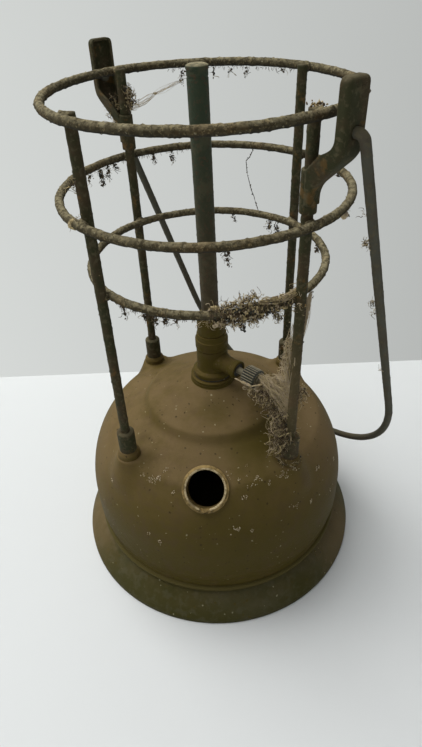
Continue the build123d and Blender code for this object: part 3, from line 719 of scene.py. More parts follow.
class Shape:
    """Vertices and faces that several helpers add to, each face with a material's number."""

    def __init__(self):
        self.points = []
        self.faces = []
        self.marks = []

    def grid(self, rows, closed_rows=False, closed_columns=False, mark=0):
        """Adds a grid of points, row by row, with a quad between each four."""
        start = len(self.points)
        width = len(rows[0])
        for row in rows:
            self.points.extend(tuple(point) for point in row)
        for i in range(len(rows) - (0 if closed_columns else 1)):
            for j in range(width - (0 if closed_rows else 1)):
                here = start + i * width
                after = start + (i + 1) % len(rows) * width
                beside = (j + 1) % width
                self.faces.append((here + j, here + beside, after + beside, after + j))
                self.marks.append(mark)

    def mark_faces(self, matrix, chosen):
        """Gives the second material to faces whose centre, moved by a matrix, is chosen."""
        for i, face in enumerate(self.faces):
            centre = sum((Vector(self.points[corner]) for corner in face), Vector()) / len(face)
            self.marks[i] = int(chosen(matrix @ centre))

    def move(self, change):
        """Moves each point to where a function of it says."""
        self.points = [change(Vector(point)) for point in self.points]

    def polygon(self, points, mark=0):
        """Adds one face."""
        start = len(self.points)
        self.points.extend(tuple(point) for point in points)
        self.faces.append(tuple(range(start, start + len(points))))
        self.marks.append(mark)

    def mesh(self, name):
        """The mesh, welded where points meet, with its faces turned outwards."""
        mesh = bpy.data.meshes.new(name)
        mesh.from_pydata(self.points, [], self.faces)
        mesh.polygons.foreach_set("material_index", self.marks)
        work = bmesh.new()
        work.from_mesh(mesh)
        bmesh.ops.remove_doubles(work, verts=work.verts, dist=1e-6)
        bmesh.ops.recalc_face_normals(work, faces=work.faces)
        work.to_mesh(mesh)
        work.free()
        mesh.shade_smooth()
        return mesh


def new_object(name, data):
    """A new object in the scene."""
    made = bpy.data.objects.new(name, data)
    bpy.context.scene.collection.objects.link(made)
    return made


def put_in_scene(name, shape, materials):
    """Puts a shape in the scene with its materials."""
    mesh = shape.mesh(name)
    for material in materials:
        mesh.materials.append(material)
    return new_object(name, mesh)


def add_piece(name, shape, body, slot, stands_for=(), extra_slots=()):
    """Puts a shape in the scene as a piece that rides on a body and stands for CAD nodes."""
    piece = put_in_scene(name, shape, [finish(used) for used in (slot, *extra_slots)])
    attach(piece, body)
    if stands_for:
        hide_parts(*stands_for)
    return piece


def dress(name, slot):
    """Gives a CAD node that stays its material."""
    materials = NODES[name].data.materials
    materials.clear()
    materials.append(finish(slot))


def thicken(piece, thickness):
    """Gives a sheet its thickness, inwards from its outside."""
    skin = piece.modifiers.new("Sheet", "SOLIDIFY")
    skin.thickness = thickness
    skin.offset = -1


def apply_modifiers(piece):
    """Replaces a piece's mesh with what its modifiers make of it."""
    graph = bpy.context.evaluated_depsgraph_get()
    changed = bpy.data.meshes.new_from_object(piece.evaluated_get(graph))
    tools = [m.object for m in piece.modifiers if m.type == "BOOLEAN"]
    piece.modifiers.clear()
    for tool in tools:
        bpy.data.objects.remove(tool)
    piece.data = changed
    piece.data.shade_smooth()


def rounded(corners, steps=5):
    """Points of an open line through (x, y, rounding) corners, each inner one rounded off."""
    points = [Vector(corners[0][:2])]
    for before, corner, after in zip(corners, corners[1:], corners[2:]):
        here = Vector(corner[:2])
        back = Vector(before[:2]) - here
        ahead = Vector(after[:2]) - here
        if corner[2] == 0:
            points.append(here)
            continue
        reach = corner[2] / math.tan(back.angle(ahead) / 2)
        reach = min(reach, back.length * 0.49, ahead.length * 0.49)
        start = here + back.normalized() * reach
        end = here + ahead.normalized() * reach
        for i in range(steps + 1):
            t = i / steps
            points.append(start.lerp(here, t).lerp(here.lerp(end, t), t))
    points.append(Vector(corners[-1][:2]))
    return points


def spaced(points, step):
    """The same line with points added so that none is further than a step from the next."""
    line = []
    for start, end in zip(points, points[1:]):
        count = max(1, math.ceil((end - start).length / step))
        line.extend(start.lerp(end, i / count) for i in range(count))
    return line + [points[-1]]


def profile(corners, step=2 * MM, steps=4):
    """A line through (x, y, rounding) corners, with its points no further than a step apart."""
    return spaced(rounded(corners, steps), step)


def turned(shape, outline, place=None, sides=96, reach=None, mark=0):
    """Adds (radius, height) points turned about Z; reach(point, angle) may change the radius."""
    rows = []
    for point in outline:
        row = []
        for angle in even_turn(sides):
            radius = reach(point, angle) if reach else point[0]
            spot = polar(radius, angle, point[1])
            row.append(place @ spot if place else spot)
        rows.append(row)
    shape.grid(rows, closed_rows=True, mark=mark)


def scaly(spot, size, height):
    """How far scale and grit stand out at a spot, with flakes no larger than size."""
    soft = noise.fractal(spot / (size * 4), 1.0, 2.0, 3)
    flake = max(0.0, noise.noise(spot / size) - 0.32)
    return height * (0.35 * soft + 1.7 * flake)


def rod(shape, path, across, radius, sides=16, lumps=0.0, closed=False, mark=0):
    """Adds a round wire along a flat path, whose plane's normal is across, with scale on it."""
    across = Vector(across).normalized()
    count = len(path)
    rows = []
    for i, centre in enumerate(path):
        before = path[i - 1] if closed or i else centre
        after = path[(i + 1) % count] if closed or i + 1 < count else centre
        side = (after - before).normalized().cross(across)
        row = []
        for angle in even_turn(sides):
            out = math.cos(angle) * side + math.sin(angle) * across
            spot = centre + out * radius
            row.append(spot + out * scaly(spot, 1.1 * MM, lumps) if lumps else spot)
        rows.append(row)
    shape.grid(rows, closed_rows=True, closed_columns=closed, mark=mark)
    if not closed:
        shape.polygon(rows[0], mark)
        shape.polygon(rows[-1], mark)


def lump(shape, centre, size, lumps, mark=0, sides=14):
    """Adds a rough round lump; size is its half widths along X, Y and Z."""
    rows = []
    for i in range(sides // 2 + 1):
        tilt = math.pi * i / (sides // 2)
        row = []
        for angle in even_turn(sides):
            out = polar(math.sin(tilt), angle, math.cos(tilt))
            swell = 1 + lumps * noise.noise((centre + out * max(size)) * 450)
            row.append(centre + Vector((out.x * size[0], out.y * size[1], out.z * size[2])) * swell)
        rows.append(row)
    shape.grid(rows, closed_rows=True, mark=mark)


def stacked(name, nodes, corners, slot, sides=96, place=None, finish_slot=None):
    """A piece turned from (radius, height, rounding) corners; another finish may cover it all."""
    shape = Shape()
    extra = [finish_slot] if finish_slot else []
    turned(shape, profile(corners), place=place, sides=sides, mark=len(extra))
    add_piece(name, shape, "stand", slot, nodes, extra)


# ---- tank

TANK_SIDES = 288
PAD_SLOPE = math.radians(76)
PAD_STEPS = 14  # how often the pads are grown out a little more
DENTS = ((28, 0.16), (75, 0.05))  # waves in a metre, and height in millimetres


def tank_outline(s):
    """Half section of the tank's outside, from the hole under the boss down to its hem."""
    crown = high("tank_dome")
    hub = s.shoulder_radius
    centre = s.tank_radius - hub
    first = math.acos((s.knuckle_radius + 0.04 * hub - centre) / hub)
    steps = 16
    arc = []
    for i in range(steps + 1):
        angle = first * (1 - i / steps)
        arc.append((centre + hub * math.cos(angle), s.wall_top + hub * math.sin(angle), 0))
    knuckle_height = s.wall_top + math.sqrt(hub**2 - (s.knuckle_radius - centre) ** 2)
    seam_top = high("tank_skirt")
    hole = 8 * s.wall
    corners = [
        (hole, crown, 0),
        (s.crest_radius * 0.75, crown, 3 * MM),
        (s.crest_radius, crown - s.crest_drop, 6 * MM),
        (s.brow_radius, s.brow_height, 4.5 * MM),
        (s.valley_radius, s.valley_height, 8 * MM),
        (s.knuckle_radius, knuckle_height, 16 * MM),
        *arc,
        (s.tank_radius, s.wall_low, 12 * MM),
        (s.seam_radius - 0.3 * s.cove, seam_top, 5 * MM),
        (s.seam_radius, s.bead_height + 0.5 * s.bead_radius, 0),
    ]
    return profile(corners, 1.4 * MM, 8)


def soft_union(first, second, width):
    """Distance to the union of two forms, with the corner between them filled."""
    share = np.clip(width - np.abs(first - second), 0, None) / width
    return np.minimum(first, second) - share**2 * width / 4


def post_distance(spots, name):
    """Distance in plan from each spot to a post."""
    centre = post_place(name)
    return np.hypot(spots[..., 0] - centre.x, spots[..., 1] - centre.y)


def pad_distance(spots, name, s):
    """Distance from each spot to the pad under a post: a steep cone with a flat top."""
    fall = spots[..., 2] - low("post_flange_" + name)
    across = post_distance(spots, name) - s.pad_radius
    side = (across + fall / math.tan(PAD_SLOPE)) * math.sin(PAD_SLOPE)
    side += np.clip(-fall - 0.35 * s.pad_depth, 0, None) ** 2 / s.pad_depth
    return np.maximum(side, fall)


def tank_points(s):
    """The tank's outside as a grid of points, with the pads grown out of the shoulder."""
    line = np.array([tuple(point) for point in tank_outline(s)])
    run = np.gradient(line, axis=0)
    run /= np.linalg.norm(run, axis=1)[:, None]
    angles = np.linspace(0, 2 * math.pi, TANK_SIDES, endpoint=False)
    around = np.stack([np.cos(angles), np.sin(angles)], axis=1)
    points = np.zeros((len(line), TANK_SIDES, 3))
    normals = np.zeros_like(points)
    points[..., :2] = line[:, None, :1] * around[None]
    points[..., 2] = line[:, None, 1]
    normals[..., :2] = -run[:, None, 1:] * around[None]
    normals[..., 2] = run[:, None, 0]
    lift = np.zeros(points.shape[:2])
    for _ in range(PAD_STEPS):
        spots = points + normals * lift[..., None]
        pads = np.min([pad_distance(spots, name, s) for name in POST_NAMES], axis=0)
        lift -= 0.8 * soft_union(lift, pads, s.pad_blend)
    spots = points + normals * lift[..., None]
    for name in POST_NAMES:
        across = post_distance(spots, name)
        limit = low("post_flange_" + name) + 0.35 * np.clip(across - s.pad_radius, 0, None)
        near = across < 2 * s.pad_radius
        spots[..., 2] = np.where(near, np.minimum(spots[..., 2], limit), spots[..., 2])
    return spots


def filler_frame():
    """Matrix on the filler's mouth, with Z out along its bore."""
    mount = next(m for m in frame["record"]["mounts"] if m["name"] == "filler_thread")
    turn = Vector(mount["axis"]).to_track_quat("Z", "Y").to_matrix().to_4x4()
    return Matrix.Translation(mount["pos_m"]) @ turn


def build_tank_dome():
    """Spun tank with pads under the posts and a hole for the filler."""
    s = sizes()[0]
    spots = tank_points(s)
    to_filler = filler_frame().inverted()
    shape = Shape()
    shape.grid(spots, closed_rows=True)
    shape.move(dented)
    inside = set()
    for i, point in enumerate(shape.points):
        local = to_filler @ Vector(point)
        if math.hypot(local.x, local.y) < s.rim - 2 * s.wall and abs(local.z) < s.rim:
            inside.add(i)
    shape.faces = [face for face in shape.faces if not inside.intersection(face)]
    shape.marks = [0] * len(shape.faces)
    piece = add_piece("tank_shell", shape, "stand", "tank_paint", ["tank_dome"])
    thicken(piece, s.wall)
    apply_modifiers(piece)


def dented(point):
    """A point moved a little, as a spun and knocked sheet is."""
    wave = sum(noise.noise(point * waves) * height for waves, height in DENTS)
    away = Vector((point.x, point.y, max(0.0, point.z - 60 * MM))).normalized()
    return point + away * wave * MM


def build_tank_foot():
    """Flared foot with its seam collar and bead."""
    s = sizes()[0]
    foot = half_width("tank_skirt")
    collar = s.seam_radius + s.collar
    run = Vector((collar, s.seam_low)) - Vector((foot, s.foot_band))
    bulge = Vector((-run.y, run.x)).normalized() * -s.flare_bulge
    steps = 12
    flare = []
    for i in range(1, steps):
        t = i / steps
        spot = Vector((foot, s.foot_band)) + run * t + bulge * 4 * t * (1 - t)
        flare.append((spot.x, spot.y, 0))
    bead = []
    centre = s.seam_radius + s.collar / 2
    for degrees in range(-72, 73, 18):
        out = polar(s.bead_radius, math.radians(degrees))
        bead.append((centre + out.x, s.bead_height + out.y, 0))
    bead_top = s.bead_height + 1.1 * s.bead_radius
    wall = s.skirt_wall
    outline = [
        (s.seam_radius, s.seam_low, 0),
        (foot - wall, s.foot_band, 0.3 * MM),
        (foot - wall, 0, 0.4 * MM),
        (foot, 0, 0.4 * MM),
        (foot, s.foot_band, 0.5 * MM),
        *flare,
        (collar, s.seam_low, 0.5 * MM),
        (collar, s.bead_height - 1.4 * s.bead_radius, 0.2 * MM),
        *bead,
        (s.seam_radius - s.cove, bead_top, 0.2 * MM),
        (s.seam_radius - 2 * s.cove, bead_top, 0.2 * MM),
        (s.seam_radius, s.seam_low, 0),
    ]
    shape = Shape()
    turned(shape, profile(outline, 2.5 * MM), sides=TANK_SIDES)
    shape.move(settled)
    add_piece("tank_foot", shape, "stand", "skirt_paint", ["tank_skirt"])


def settled(point):
    """A point of the foot, a little out of true except where it stands on the floor."""
    lift = min(1.0, point.z / (8 * MM))
    out = Vector((point.x, point.y, 0)).normalized()
    return point - out * abs(noise.noise(point * 30)) * 0.3 * MM * lift


def build_filler():
    """Brass filler bush with a rounded rim, a thread and a vent notch."""
    s = sizes()[0]
    bore = s.bore
    deep = -10 * MM
    outline = [(bore + 2 * MM, deep), (bore + 0.3 * MM, deep)]
    turns = int((-deep - 1 * MM) / s.thread_pitch)
    for i in range(turns):
        start = deep + 0.4 * MM + i * s.thread_pitch
        outline.append((bore + 0.1 * MM, start))
        outline.append((bore + 0.7 * MM, start + s.thread_pitch / 2))
    rim = [
        (bore + 0.2 * MM, outline[-1][1] + 0.6 * MM, 0),
        (bore, s.rim_rise, 0.8 * MM),
        (s.rim - 1.3 * MM, s.rim_rise, 0.5 * MM),
        (s.rim - 0.9 * MM, 0.5 * MM, 0.4 * MM),
        (s.rim, 0.3 * MM, 0.5 * MM),
        (s.rim, -2 * MM, 0),
        (bore + 2 * MM, -2 * MM, 0),
        (bore + 2 * MM, deep, 0),
    ]
    outline = [Vector(point) for point in outline] + rounded(rim, 5)

    downwards = filler_frame().to_3x3().inverted() @ Vector((0, 0, -1))
    lowest = math.atan2(downwards.y, downwards.x)

    def notched(point, angle):
        """Radius of a point, further out in the notch at the rim's lowest place."""
        away = (angle - lowest + math.pi) % (2 * math.pi) - math.pi
        near = max(0.0, 1 - (away / math.radians(16)) ** 2)
        at_mouth = point[1] > -1.5 * MM and point[0] < bore + 1 * MM
        return point[0] + (2.0 * MM * near if at_mouth else 0.0)

    shape = Shape()
    turned(shape, outline, place=filler_frame(), sides=144, reach=notched)

    def on_lip(centre):
        """Whether a face belongs to the rim's rubbed lip."""
        return centre.to_2d().length < bore + 1.1 * MM and centre.z > s.rim_rise - 1.2 * MM

    shape.mark_faces(filler_frame().inverted(), on_lip)
    add_piece("filler_bush", shape, "stand", "bare_brass", ["filler_neck"], ["rubbed_brass"])


# ---- column


def build_boss():
    """Boss with a groove, and the seal over it."""
    s = sizes()[2]
    foot = high("tank_dome") - 0.5 * MM
    top = low("boss_seal")
    groove = (foot + top) / 2 + 0.4 * MM
    corners = [
        (s.cock * 0.7, foot, 0),
        (s.boss + 0.6 * MM, foot, 0.2 * MM),
        (s.boss, foot + 0.9 * MM, 0.3 * MM),
        (s.boss, groove - 0.5 * MM, 0.4 * MM),
        (s.boss - 0.8 * MM, groove, 0.2 * MM),
        (s.boss, groove + 0.5 * MM, 0.4 * MM),
        (s.boss, top, 0.6 * MM),
        (s.cock * 0.7, top, 0),
    ]
    stacked("boss", ["crown_boss"], corners, "tank_paint", sides=128, finish_slot="stained_paint")
    dress("boss_seal", "seal")


def build_cock():
    """Cock's flange and column, with the arm that carries the spindle."""
    s = sizes()[2]
    seat = high("boss_seal")
    flange = seat + s.cock_flange_height
    top = flange + s.cock_height
    corners = [
        (s.cock * 0.7, seat, 0),
        (s.cock_flange, seat, 0.6 * MM),
        (s.cock_flange, flange - 1.2 * MM, 0.8 * MM),
        (s.cock_flange - 1.6 * MM, flange, 0.8 * MM),
        (s.cock + 0.3 * MM, flange + 0.2 * MM, 0.8 * MM),
        (s.cock, flange + 2 * MM, 2 * MM),
        (s.cock, top, 0.5 * MM),
        (s.cock - 1.2 * MM, top, 0.3 * MM),
        (s.cock - 1.4 * MM, high("cock_body"), 0),
        (s.spindle, high("cock_body"), 0),
    ]
    shape = Shape()
    turned(shape, profile(corners), sides=128, mark=1)
    arm = [
        (s.arm + 1.6 * MM, s.cock * 0.72, 0),
        (s.arm, s.cock + 2.2 * MM, 2 * MM),
        (s.arm, s.arm_end - 3.6 * MM, 0.3 * MM),
        (s.arm + 0.35 * MM, s.arm_end - 3.1 * MM, 0.3 * MM),
        (s.arm + 0.35 * MM, s.arm_end, 0.7 * MM),
        (s.arm_well, s.arm_end, 0.4 * MM),
        (s.arm_well, s.arm_end - 2.6 * MM, 0),
        (s.spindle * 1.1, s.arm_end - 2.6 * MM, 0),
    ]
    turned(shape, profile(arm, 1.5 * MM), place=joint_frame("cock_turn"), sides=72, mark=1)
    add_piece("cock", shape, "stand", "tank_paint", ["cock_body"], ["stained_paint"])
    for name in ("gland_nut", "gland_packing"):
        dress(name, "seal")
    for name in ("riser_tube", "fuel_filter", "pricker_rod", "lead_washer"):
        dress(name, "inner_metal")


def build_knob():
    """Fluted knob with notches in its dished end, on a plain spindle with its screw."""
    s = sizes()[2]
    to_axis = joint_frame("cock_turn")
    back = to_axis.inverted()
    end = max((back @ vertex.co).z for vertex in NODES["control_knob"].data.vertices)
    start = end - (s.knob_length - s.knob_gap)

    def fluted(point, angle):
        """Radius of a point, drawn in at the flutes and at the end's notches."""
        rim = min(1.0, max(0.0, (point[0] - s.knob * 0.7) / (s.knob * 0.25)))
        wave = 0.5 - 0.5 * math.cos(angle * s.flutes)
        return point[0] - s.flute_depth * rim * wave**0.8

    outline = [
        (s.spindle, start, 0),
        (s.knob - 0.9 * MM, start, 0.4 * MM),
        (s.knob, start + 0.9 * MM, 0.4 * MM),
        (s.knob, end - 0.9 * MM, 0.4 * MM),
        (s.knob - 0.9 * MM, end, 0.4 * MM),
        (s.knob * 0.71, end, 0.3 * MM),
        (s.knob * 0.66, end - 1.2 * MM, 0.3 * MM),
        (s.spindle * 0.5, end - 1.2 * MM, 0),
    ]

    def in_flute(centre):
        """Whether a face lies down in a flute."""
        return s.knob * 0.8 < centre.to_2d().length < s.knob - s.flute_depth * 0.45

    shape = Shape()
    line = profile(outline, 1.6 * MM)
    turned(shape, line, place=to_axis, sides=s.flutes * 10, reach=fluted)
    # Faces down in the flutes take the grime finish: dirt and painted shade in the flutes.
    shape.mark_faces(back, in_flute)
    add_piece("fluted_knob", shape, "knob", "dull_metal", ["control_knob"], ["grime_and_shade"])
    dress("cock_spindle", "dull_metal")
    dress("knob_screw", "dull_metal")


def build_vaporiser():
    """Union nut, brazed sleeve, the long tube and its jet cap."""
    s = sizes()[2]
    foot = low("union_nut")
    top = high("union_nut")
    shoulder = top - s.nut_cone
    corners = [
        (s.cock * 0.8, foot, 0),
        (s.nut, foot, 0.5 * MM),
        (s.nut, foot + 1.5 * MM, 0.2 * MM),
        (s.nut - 0.25 * MM, foot + 1.8 * MM, 0.2 * MM),
        (s.nut, foot + 2.1 * MM, 0.2 * MM),
        (s.nut, shoulder, 0.4 * MM),
        (s.nut - 0.6 * MM, shoulder + 0.4 * MM, 0.2 * MM),
        (s.nut - 1.0 * MM, top, 0.6 * MM),
        (s.neck * 0.8, top, 0),
    ]
    stacked("nut", ["union_nut"], corners, "tank_paint", finish_slot="stained_paint")
    foot = low("vaporiser_neck")
    top = high("vaporiser_neck")
    corners = [
        (s.tube, foot, 0),
        (s.neck, foot, 0.4 * MM),
        (s.neck, top - s.neck_taper, 0.9 * MM),
        (s.tube + 1.1 * MM, top, 0.8 * MM),
        (s.tube * 0.9, top + 0.3 * MM, 0),
    ]
    stacked("sleeve", ["vaporiser_neck"], corners, "tank_paint", finish_slot="stained_paint")
    build_tube(s, foot, high("vaporiser_tube"))


def build_tube(s, foot, top):
    """Long tube with scale on it, a groove near its top and a cap."""
    groove = top - 3 * MM
    line = [
        Vector((s.tube, foot)),
        Vector((s.tube, groove - 0.5 * MM)),
        Vector((s.tube - 0.3 * MM, groove)),
        Vector((s.tube, groove + 0.5 * MM)),
        Vector((s.tube, top)),
    ]

    def crusted(point, angle):
        """Radius with scale, which is thicker at the foot."""
        spot = polar(point[0], angle, point[1])
        share = 1 - 0.75 * (point[1] - foot) / (top - foot)
        return point[0] + scaly(spot, 1.2 * MM, 0.45 * MM) * share

    shape = Shape()
    turned(shape, spaced(line, 0.9 * MM), sides=56, reach=crusted)
    tall = top - foot
    shape.points = [(x - s.tube_lean * (z - foot) / tall, y, z) for x, y, z in shape.points]
    add_piece("tube", shape, "stand", "vaporiser_paint", ["vaporiser_tube"])
    cap_top = high("jet_cap")
    corners = [
        (s.tube * 0.8, top, 0),
        (s.jet_cap, top, 0.3 * MM),
        (s.jet_cap, cap_top - 0.7 * MM, 0.8 * MM),
        (s.jet_cap * 0.72, cap_top, 0.8 * MM),
        (0.5 * MM, cap_top - 0.1 * MM, 0),
        (0.5 * MM, top, 0),
    ]
    place = Matrix.Translation((-s.tube_lean, 0, 0))
    stacked("cap", ["jet_cap"], corners, "vaporiser_paint", 64, place)


# ---- cage


def build_posts():
    """Four rods, each in a socket with a coned flange."""
    s = sizes()[1]
    for name in POST_NAMES:
        centre = post_place(name)
        place = Matrix.Translation(centre)
        foot = low("post_flange_" + name)
        seat = high("post_flange_" + name)
        top = high("post_socket_" + name)
        radius = half_width("post_" + name)
        corners = [
            (radius, foot - 0.6 * MM, 0),
            (s.flange + 0.5 * MM, foot - 0.6 * MM, 0),
            (s.flange, foot + 0.5 * MM, 0.6 * MM),
            (s.flange, foot + s.flange_rim, 0.7 * MM),
            (s.socket + 0.4 * MM, seat, 0.5 * MM),
            (radius, seat, 0),
        ]
        stacked("flange_" + name, ["post_flange_" + name], corners, "tank_paint", 64, place)
        corners = [
            (radius, seat, 0),
            (s.socket, seat, 0.3 * MM),
            (s.socket, top - 0.9 * MM, 1.2 * MM),
            (s.socket - 1.4 * MM, top, 0.6 * MM),
            (radius * 0.9, top - 0.3 * MM, 0),
        ]
        nodes = ["post_socket_" + name]
        stacked("socket_" + name, nodes, corners, "tank_paint", 56, place, "cage_paint")
        rise = high("post_" + name) - foot
        count = int(rise / (0.9 * MM))
        path = [post_place(name, foot + rise * i / count) for i in range(count + 1)]
        shape = Shape()
        rod(shape, path, centre, radius + s.rod_dirt, 18, s.lumps)
        add_piece("rod_" + name, shape, "stand", "cage_paint", ["post_" + name])


def build_rings():
    """Three wire rings, each with a lump of braze at every post."""
    s = sizes()[1]
    for name in RING_NAMES:
        height = middle(name).z
        radius = ring_radius(name)
        path = []
        for angle in even_turn(int(2 * math.pi * radius / (0.95 * MM))):
            sway = 0.35 * MM * noise.noise(polar(1, angle, height * 9) * 1.7)
            path.append(polar(radius, angle, height + sway))
        shape = Shape()
        rod(shape, path, (0, 0, 1), s.ring_wire * 0.97, 18, 1.7 * s.lumps, closed=True)
        for post in POST_NAMES:
            centre = post_place(post)
            touch = centre.normalized() * (centre.length + radius) / 2 + Vector((0, 0, height))
            lump(shape, touch, (s.braze, s.braze, s.braze * 0.85), 0.3)
        add_piece("wire_" + name, shape, "stand", "ring_wire", [name])


def build_lugs():
    """Two pressed lugs: a pan for the ear, a cranked channel below it and a sleeve on the post."""
    s = sizes()[1]
    for name in LUG_NAMES:
        centre = post_place(name)
        post_top = high("post_" + name)
        place = Matrix.Rotation(math.atan2(centre.y, centre.x), 4, "Z")
        shape = Shape()
        rows = [[place @ spot for spot in row] for row in pressed_rows(s, centre.length, post_top)]
        shape.grid(rows)
        lug = add_piece("lug_" + name, shape, "stand", "cage_paint", ["bail_lug_" + name])
        thicken(lug, s.sheet)
        pierce(lug, Vector(JOINTS["bail_swing"]["pos_m"]), centre, s.bail_wire + 0.15 * MM)
        apply_modifiers(lug)
        line = [
            (s.sleeve - s.sheet, post_top - s.sleeve_foot, 0),
            (s.sleeve, post_top - s.sleeve_foot, 0.4 * MM),
            (s.sleeve, post_top - s.sleeve_top, 0.5 * MM),
            (s.sleeve - s.sheet, post_top - s.sleeve_top, 0),
        ]
        sleeve = Shape()
        turned(sleeve, profile(line, steps=3), Matrix.Translation(centre), 48)
        add_piece("lug_sleeve_" + name, sleeve, "stand", "cage_paint")


def pressed_rows(s, circle, post_top):
    """Rows of points over a lug's outside, each from edge to edge round its back."""
    ear_top = post_top + s.ear_above
    ear_low = post_top - s.ear_below
    crank_low = ear_low - s.crank_drop
    ear_out = circle + s.ear_reach
    back = rounded(
        [
            (ear_out, ear_top, 0),
            (ear_out, ear_low, 12 * MM),
            (circle + s.sleeve, crank_low, 14 * MM),
            (circle + s.sleeve, crank_low - 9 * MM, 0),
        ],
        10,
    )
    heights = [point.y for point in reversed(back)]
    reaches = [point.x for point in reversed(back)]
    ear_in = ear_out - s.ear_depth
    front = rounded(
        [
            (circle + 0.5 * MM, crank_low, 0),
            (circle + 0.5 * MM, post_top - s.sleeve_top, 3 * MM),
            (ear_in - 7 * MM, ear_low - 1 * MM, 2 * MM),
            (ear_in, ear_low + 3 * MM, 6 * MM),
            (ear_in, ear_top, 0),
        ],
        6,
    )
    edge_heights = [point.y for point in front]
    edge_reaches = [point.x for point in front]
    wide = s.ear_width / 2
    side = [
        (s.sleeve, crank_low - 7 * MM, 0),
        (s.sleeve, crank_low + s.sleeve, 7 * MM),
        (wide, ear_low, 9 * MM),
        (wide, ear_top, s.ear_round),
        (0, ear_top, 0),
    ]
    side = profile(side, 0.55 * MM, 8)
    rows = []
    for i, spot in enumerate(side):
        run = (side[min(i + 1, len(side) - 1)] - side[max(i - 1, 0)]).normalized()
        inward = Vector((-run.y, run.x))
        if i == len(side) - 1:
            inward = Vector((0, -1))
        edge = float(np.interp(spot.y, edge_heights, edge_reaches))
        half = []
        for j in range(6):
            drop = edge + (float(np.interp(spot.y, heights, reaches)) - s.ear_corner - edge) * j / 6
            half.append((drop, spot))
        for j in range(7):
            turn = math.pi / 2 * j / 6
            moved = spot + inward * s.ear_corner * (1 - math.cos(turn))
            moved.x = max(moved.x, 0.0)
            reach = float(np.interp(moved.y, heights, reaches))
            half.append((reach - s.ear_corner * (1 - math.sin(turn)), moved))
        left = [Vector((reach, -flat.x, flat.y)) for reach, flat in half]
        right = [Vector((reach, flat.x, flat.y)) for reach, flat in reversed(half)]
        rows.append(left + right)
    return rows


def pierce(piece, place, axis, radius):
    """Drills a piece along an axis through a place."""
    turn = axis.to_track_quat("Z", "Y").to_matrix().to_4x4()
    drill = Shape()
    back, front = -20 * MM, 25 * MM
    outline = [(0, back), (radius, back), (radius, front), (0, front)]
    turned(drill, outline, Matrix.Translation(place + axis) @ turn, 32)
    cut = piece.modifiers.new("Hole", "BOOLEAN")
    cut.operation = "DIFFERENCE"
    cut.object = new_object("drill", drill.mesh("drill"))
    bpy.context.view_layer.update()


def bail_frame(s):
    """The bail's pivot, its axis, the way its legs hang and its half span."""
    joint = JOINTS["bail_swing"]
    pivot = Vector(joint["pos_m"])
    axis = Vector(joint["axis"])
    half = post_place("front_right").length + s.ear_reach + s.bail_gap + s.bail_wire
    hang = math.acos((pivot.z - low("bail_handle") - s.bail_wire) / (s.bail_leg + half))
    swing = Vector((0, 0, 1)).cross(axis)
    return pivot, axis, Vector((0, 0, -1)) * math.cos(hang) + swing * math.sin(hang), half


def build_bail():
    """Wire bail: its ends in the lugs' holes, straight legs and a half-round bow."""
    s = sizes()[1]
    wire = s.bail_wire
    pivot, axis, down, half = bail_frame(s)
    ear = half - s.bail_gap - wire
    corners = [
        (ear - s.sheet - s.bail_end, 0, 0),
        (half, 0, s.bail_bend),
        (half, s.bail_leg, 0),
    ]
    leg = rounded(corners, 8)
    steps = 64
    bow = []
    for i in range(steps + 1):
        angle = math.pi * i / steps
        bow.append(Vector((half * math.cos(angle), s.bail_leg + half * math.sin(angle))))
    line = leg[:-1] + bow + [Vector((-point.x, point.y)) for point in reversed(leg[:-1])]
    line = spaced(line, 1.1 * MM)
    path = [pivot + axis * point.x + down * point.y for point in line]
    shape = Shape()
    rod(shape, path, axis.cross(down), wire, 16, 0.7 * s.lumps, mark=1)
    add_piece("bail", shape, "bail", "cage_paint", ["bail_handle"], ["bail_paint"])


# ---- litter


LITTER_SLOTS = ["straw", "husk", "web", "grime_and_shade", "seed", "orange"]
STRAW, HUSK, WEB, GRIME, SEED, ORANGE = range(len(LITTER_SLOTS))
FLAKE_TILTS = (0.0, 0.8, 1.6, 2.4, math.pi)


def mm(x, y, z):
    """A step given in millimetres."""
    return Vector((x, y, z)) * MM


def ring_spot(name, degrees, turn=90.0, lift=0.0):
    """Place on a ring's wire, lifted off it in millimetres; turn is 0 outwards and 90 upwards."""
    away = sizes()[1].ring_wire + lift * MM
    radius = ring_radius(name) + away * math.cos(math.radians(turn))
    height = middle(name).z + away * math.sin(math.radians(turn))
    return polar(radius, math.radians(degrees), height)


def ring_line(name, turn, places):
    """Places on a ring's wire from (degrees, lift) pairs."""
    return [ring_spot(name, degrees, turn, lift) for degrees, lift in places]


def post_spot(name, height, degrees, lift=0.0):
    """Place on a post's side that faces a heading, lifted off it in millimetres."""
    away = half_width("post_" + name) + lift * MM
    return post_place(name) + polar(away, math.radians(degrees), height)


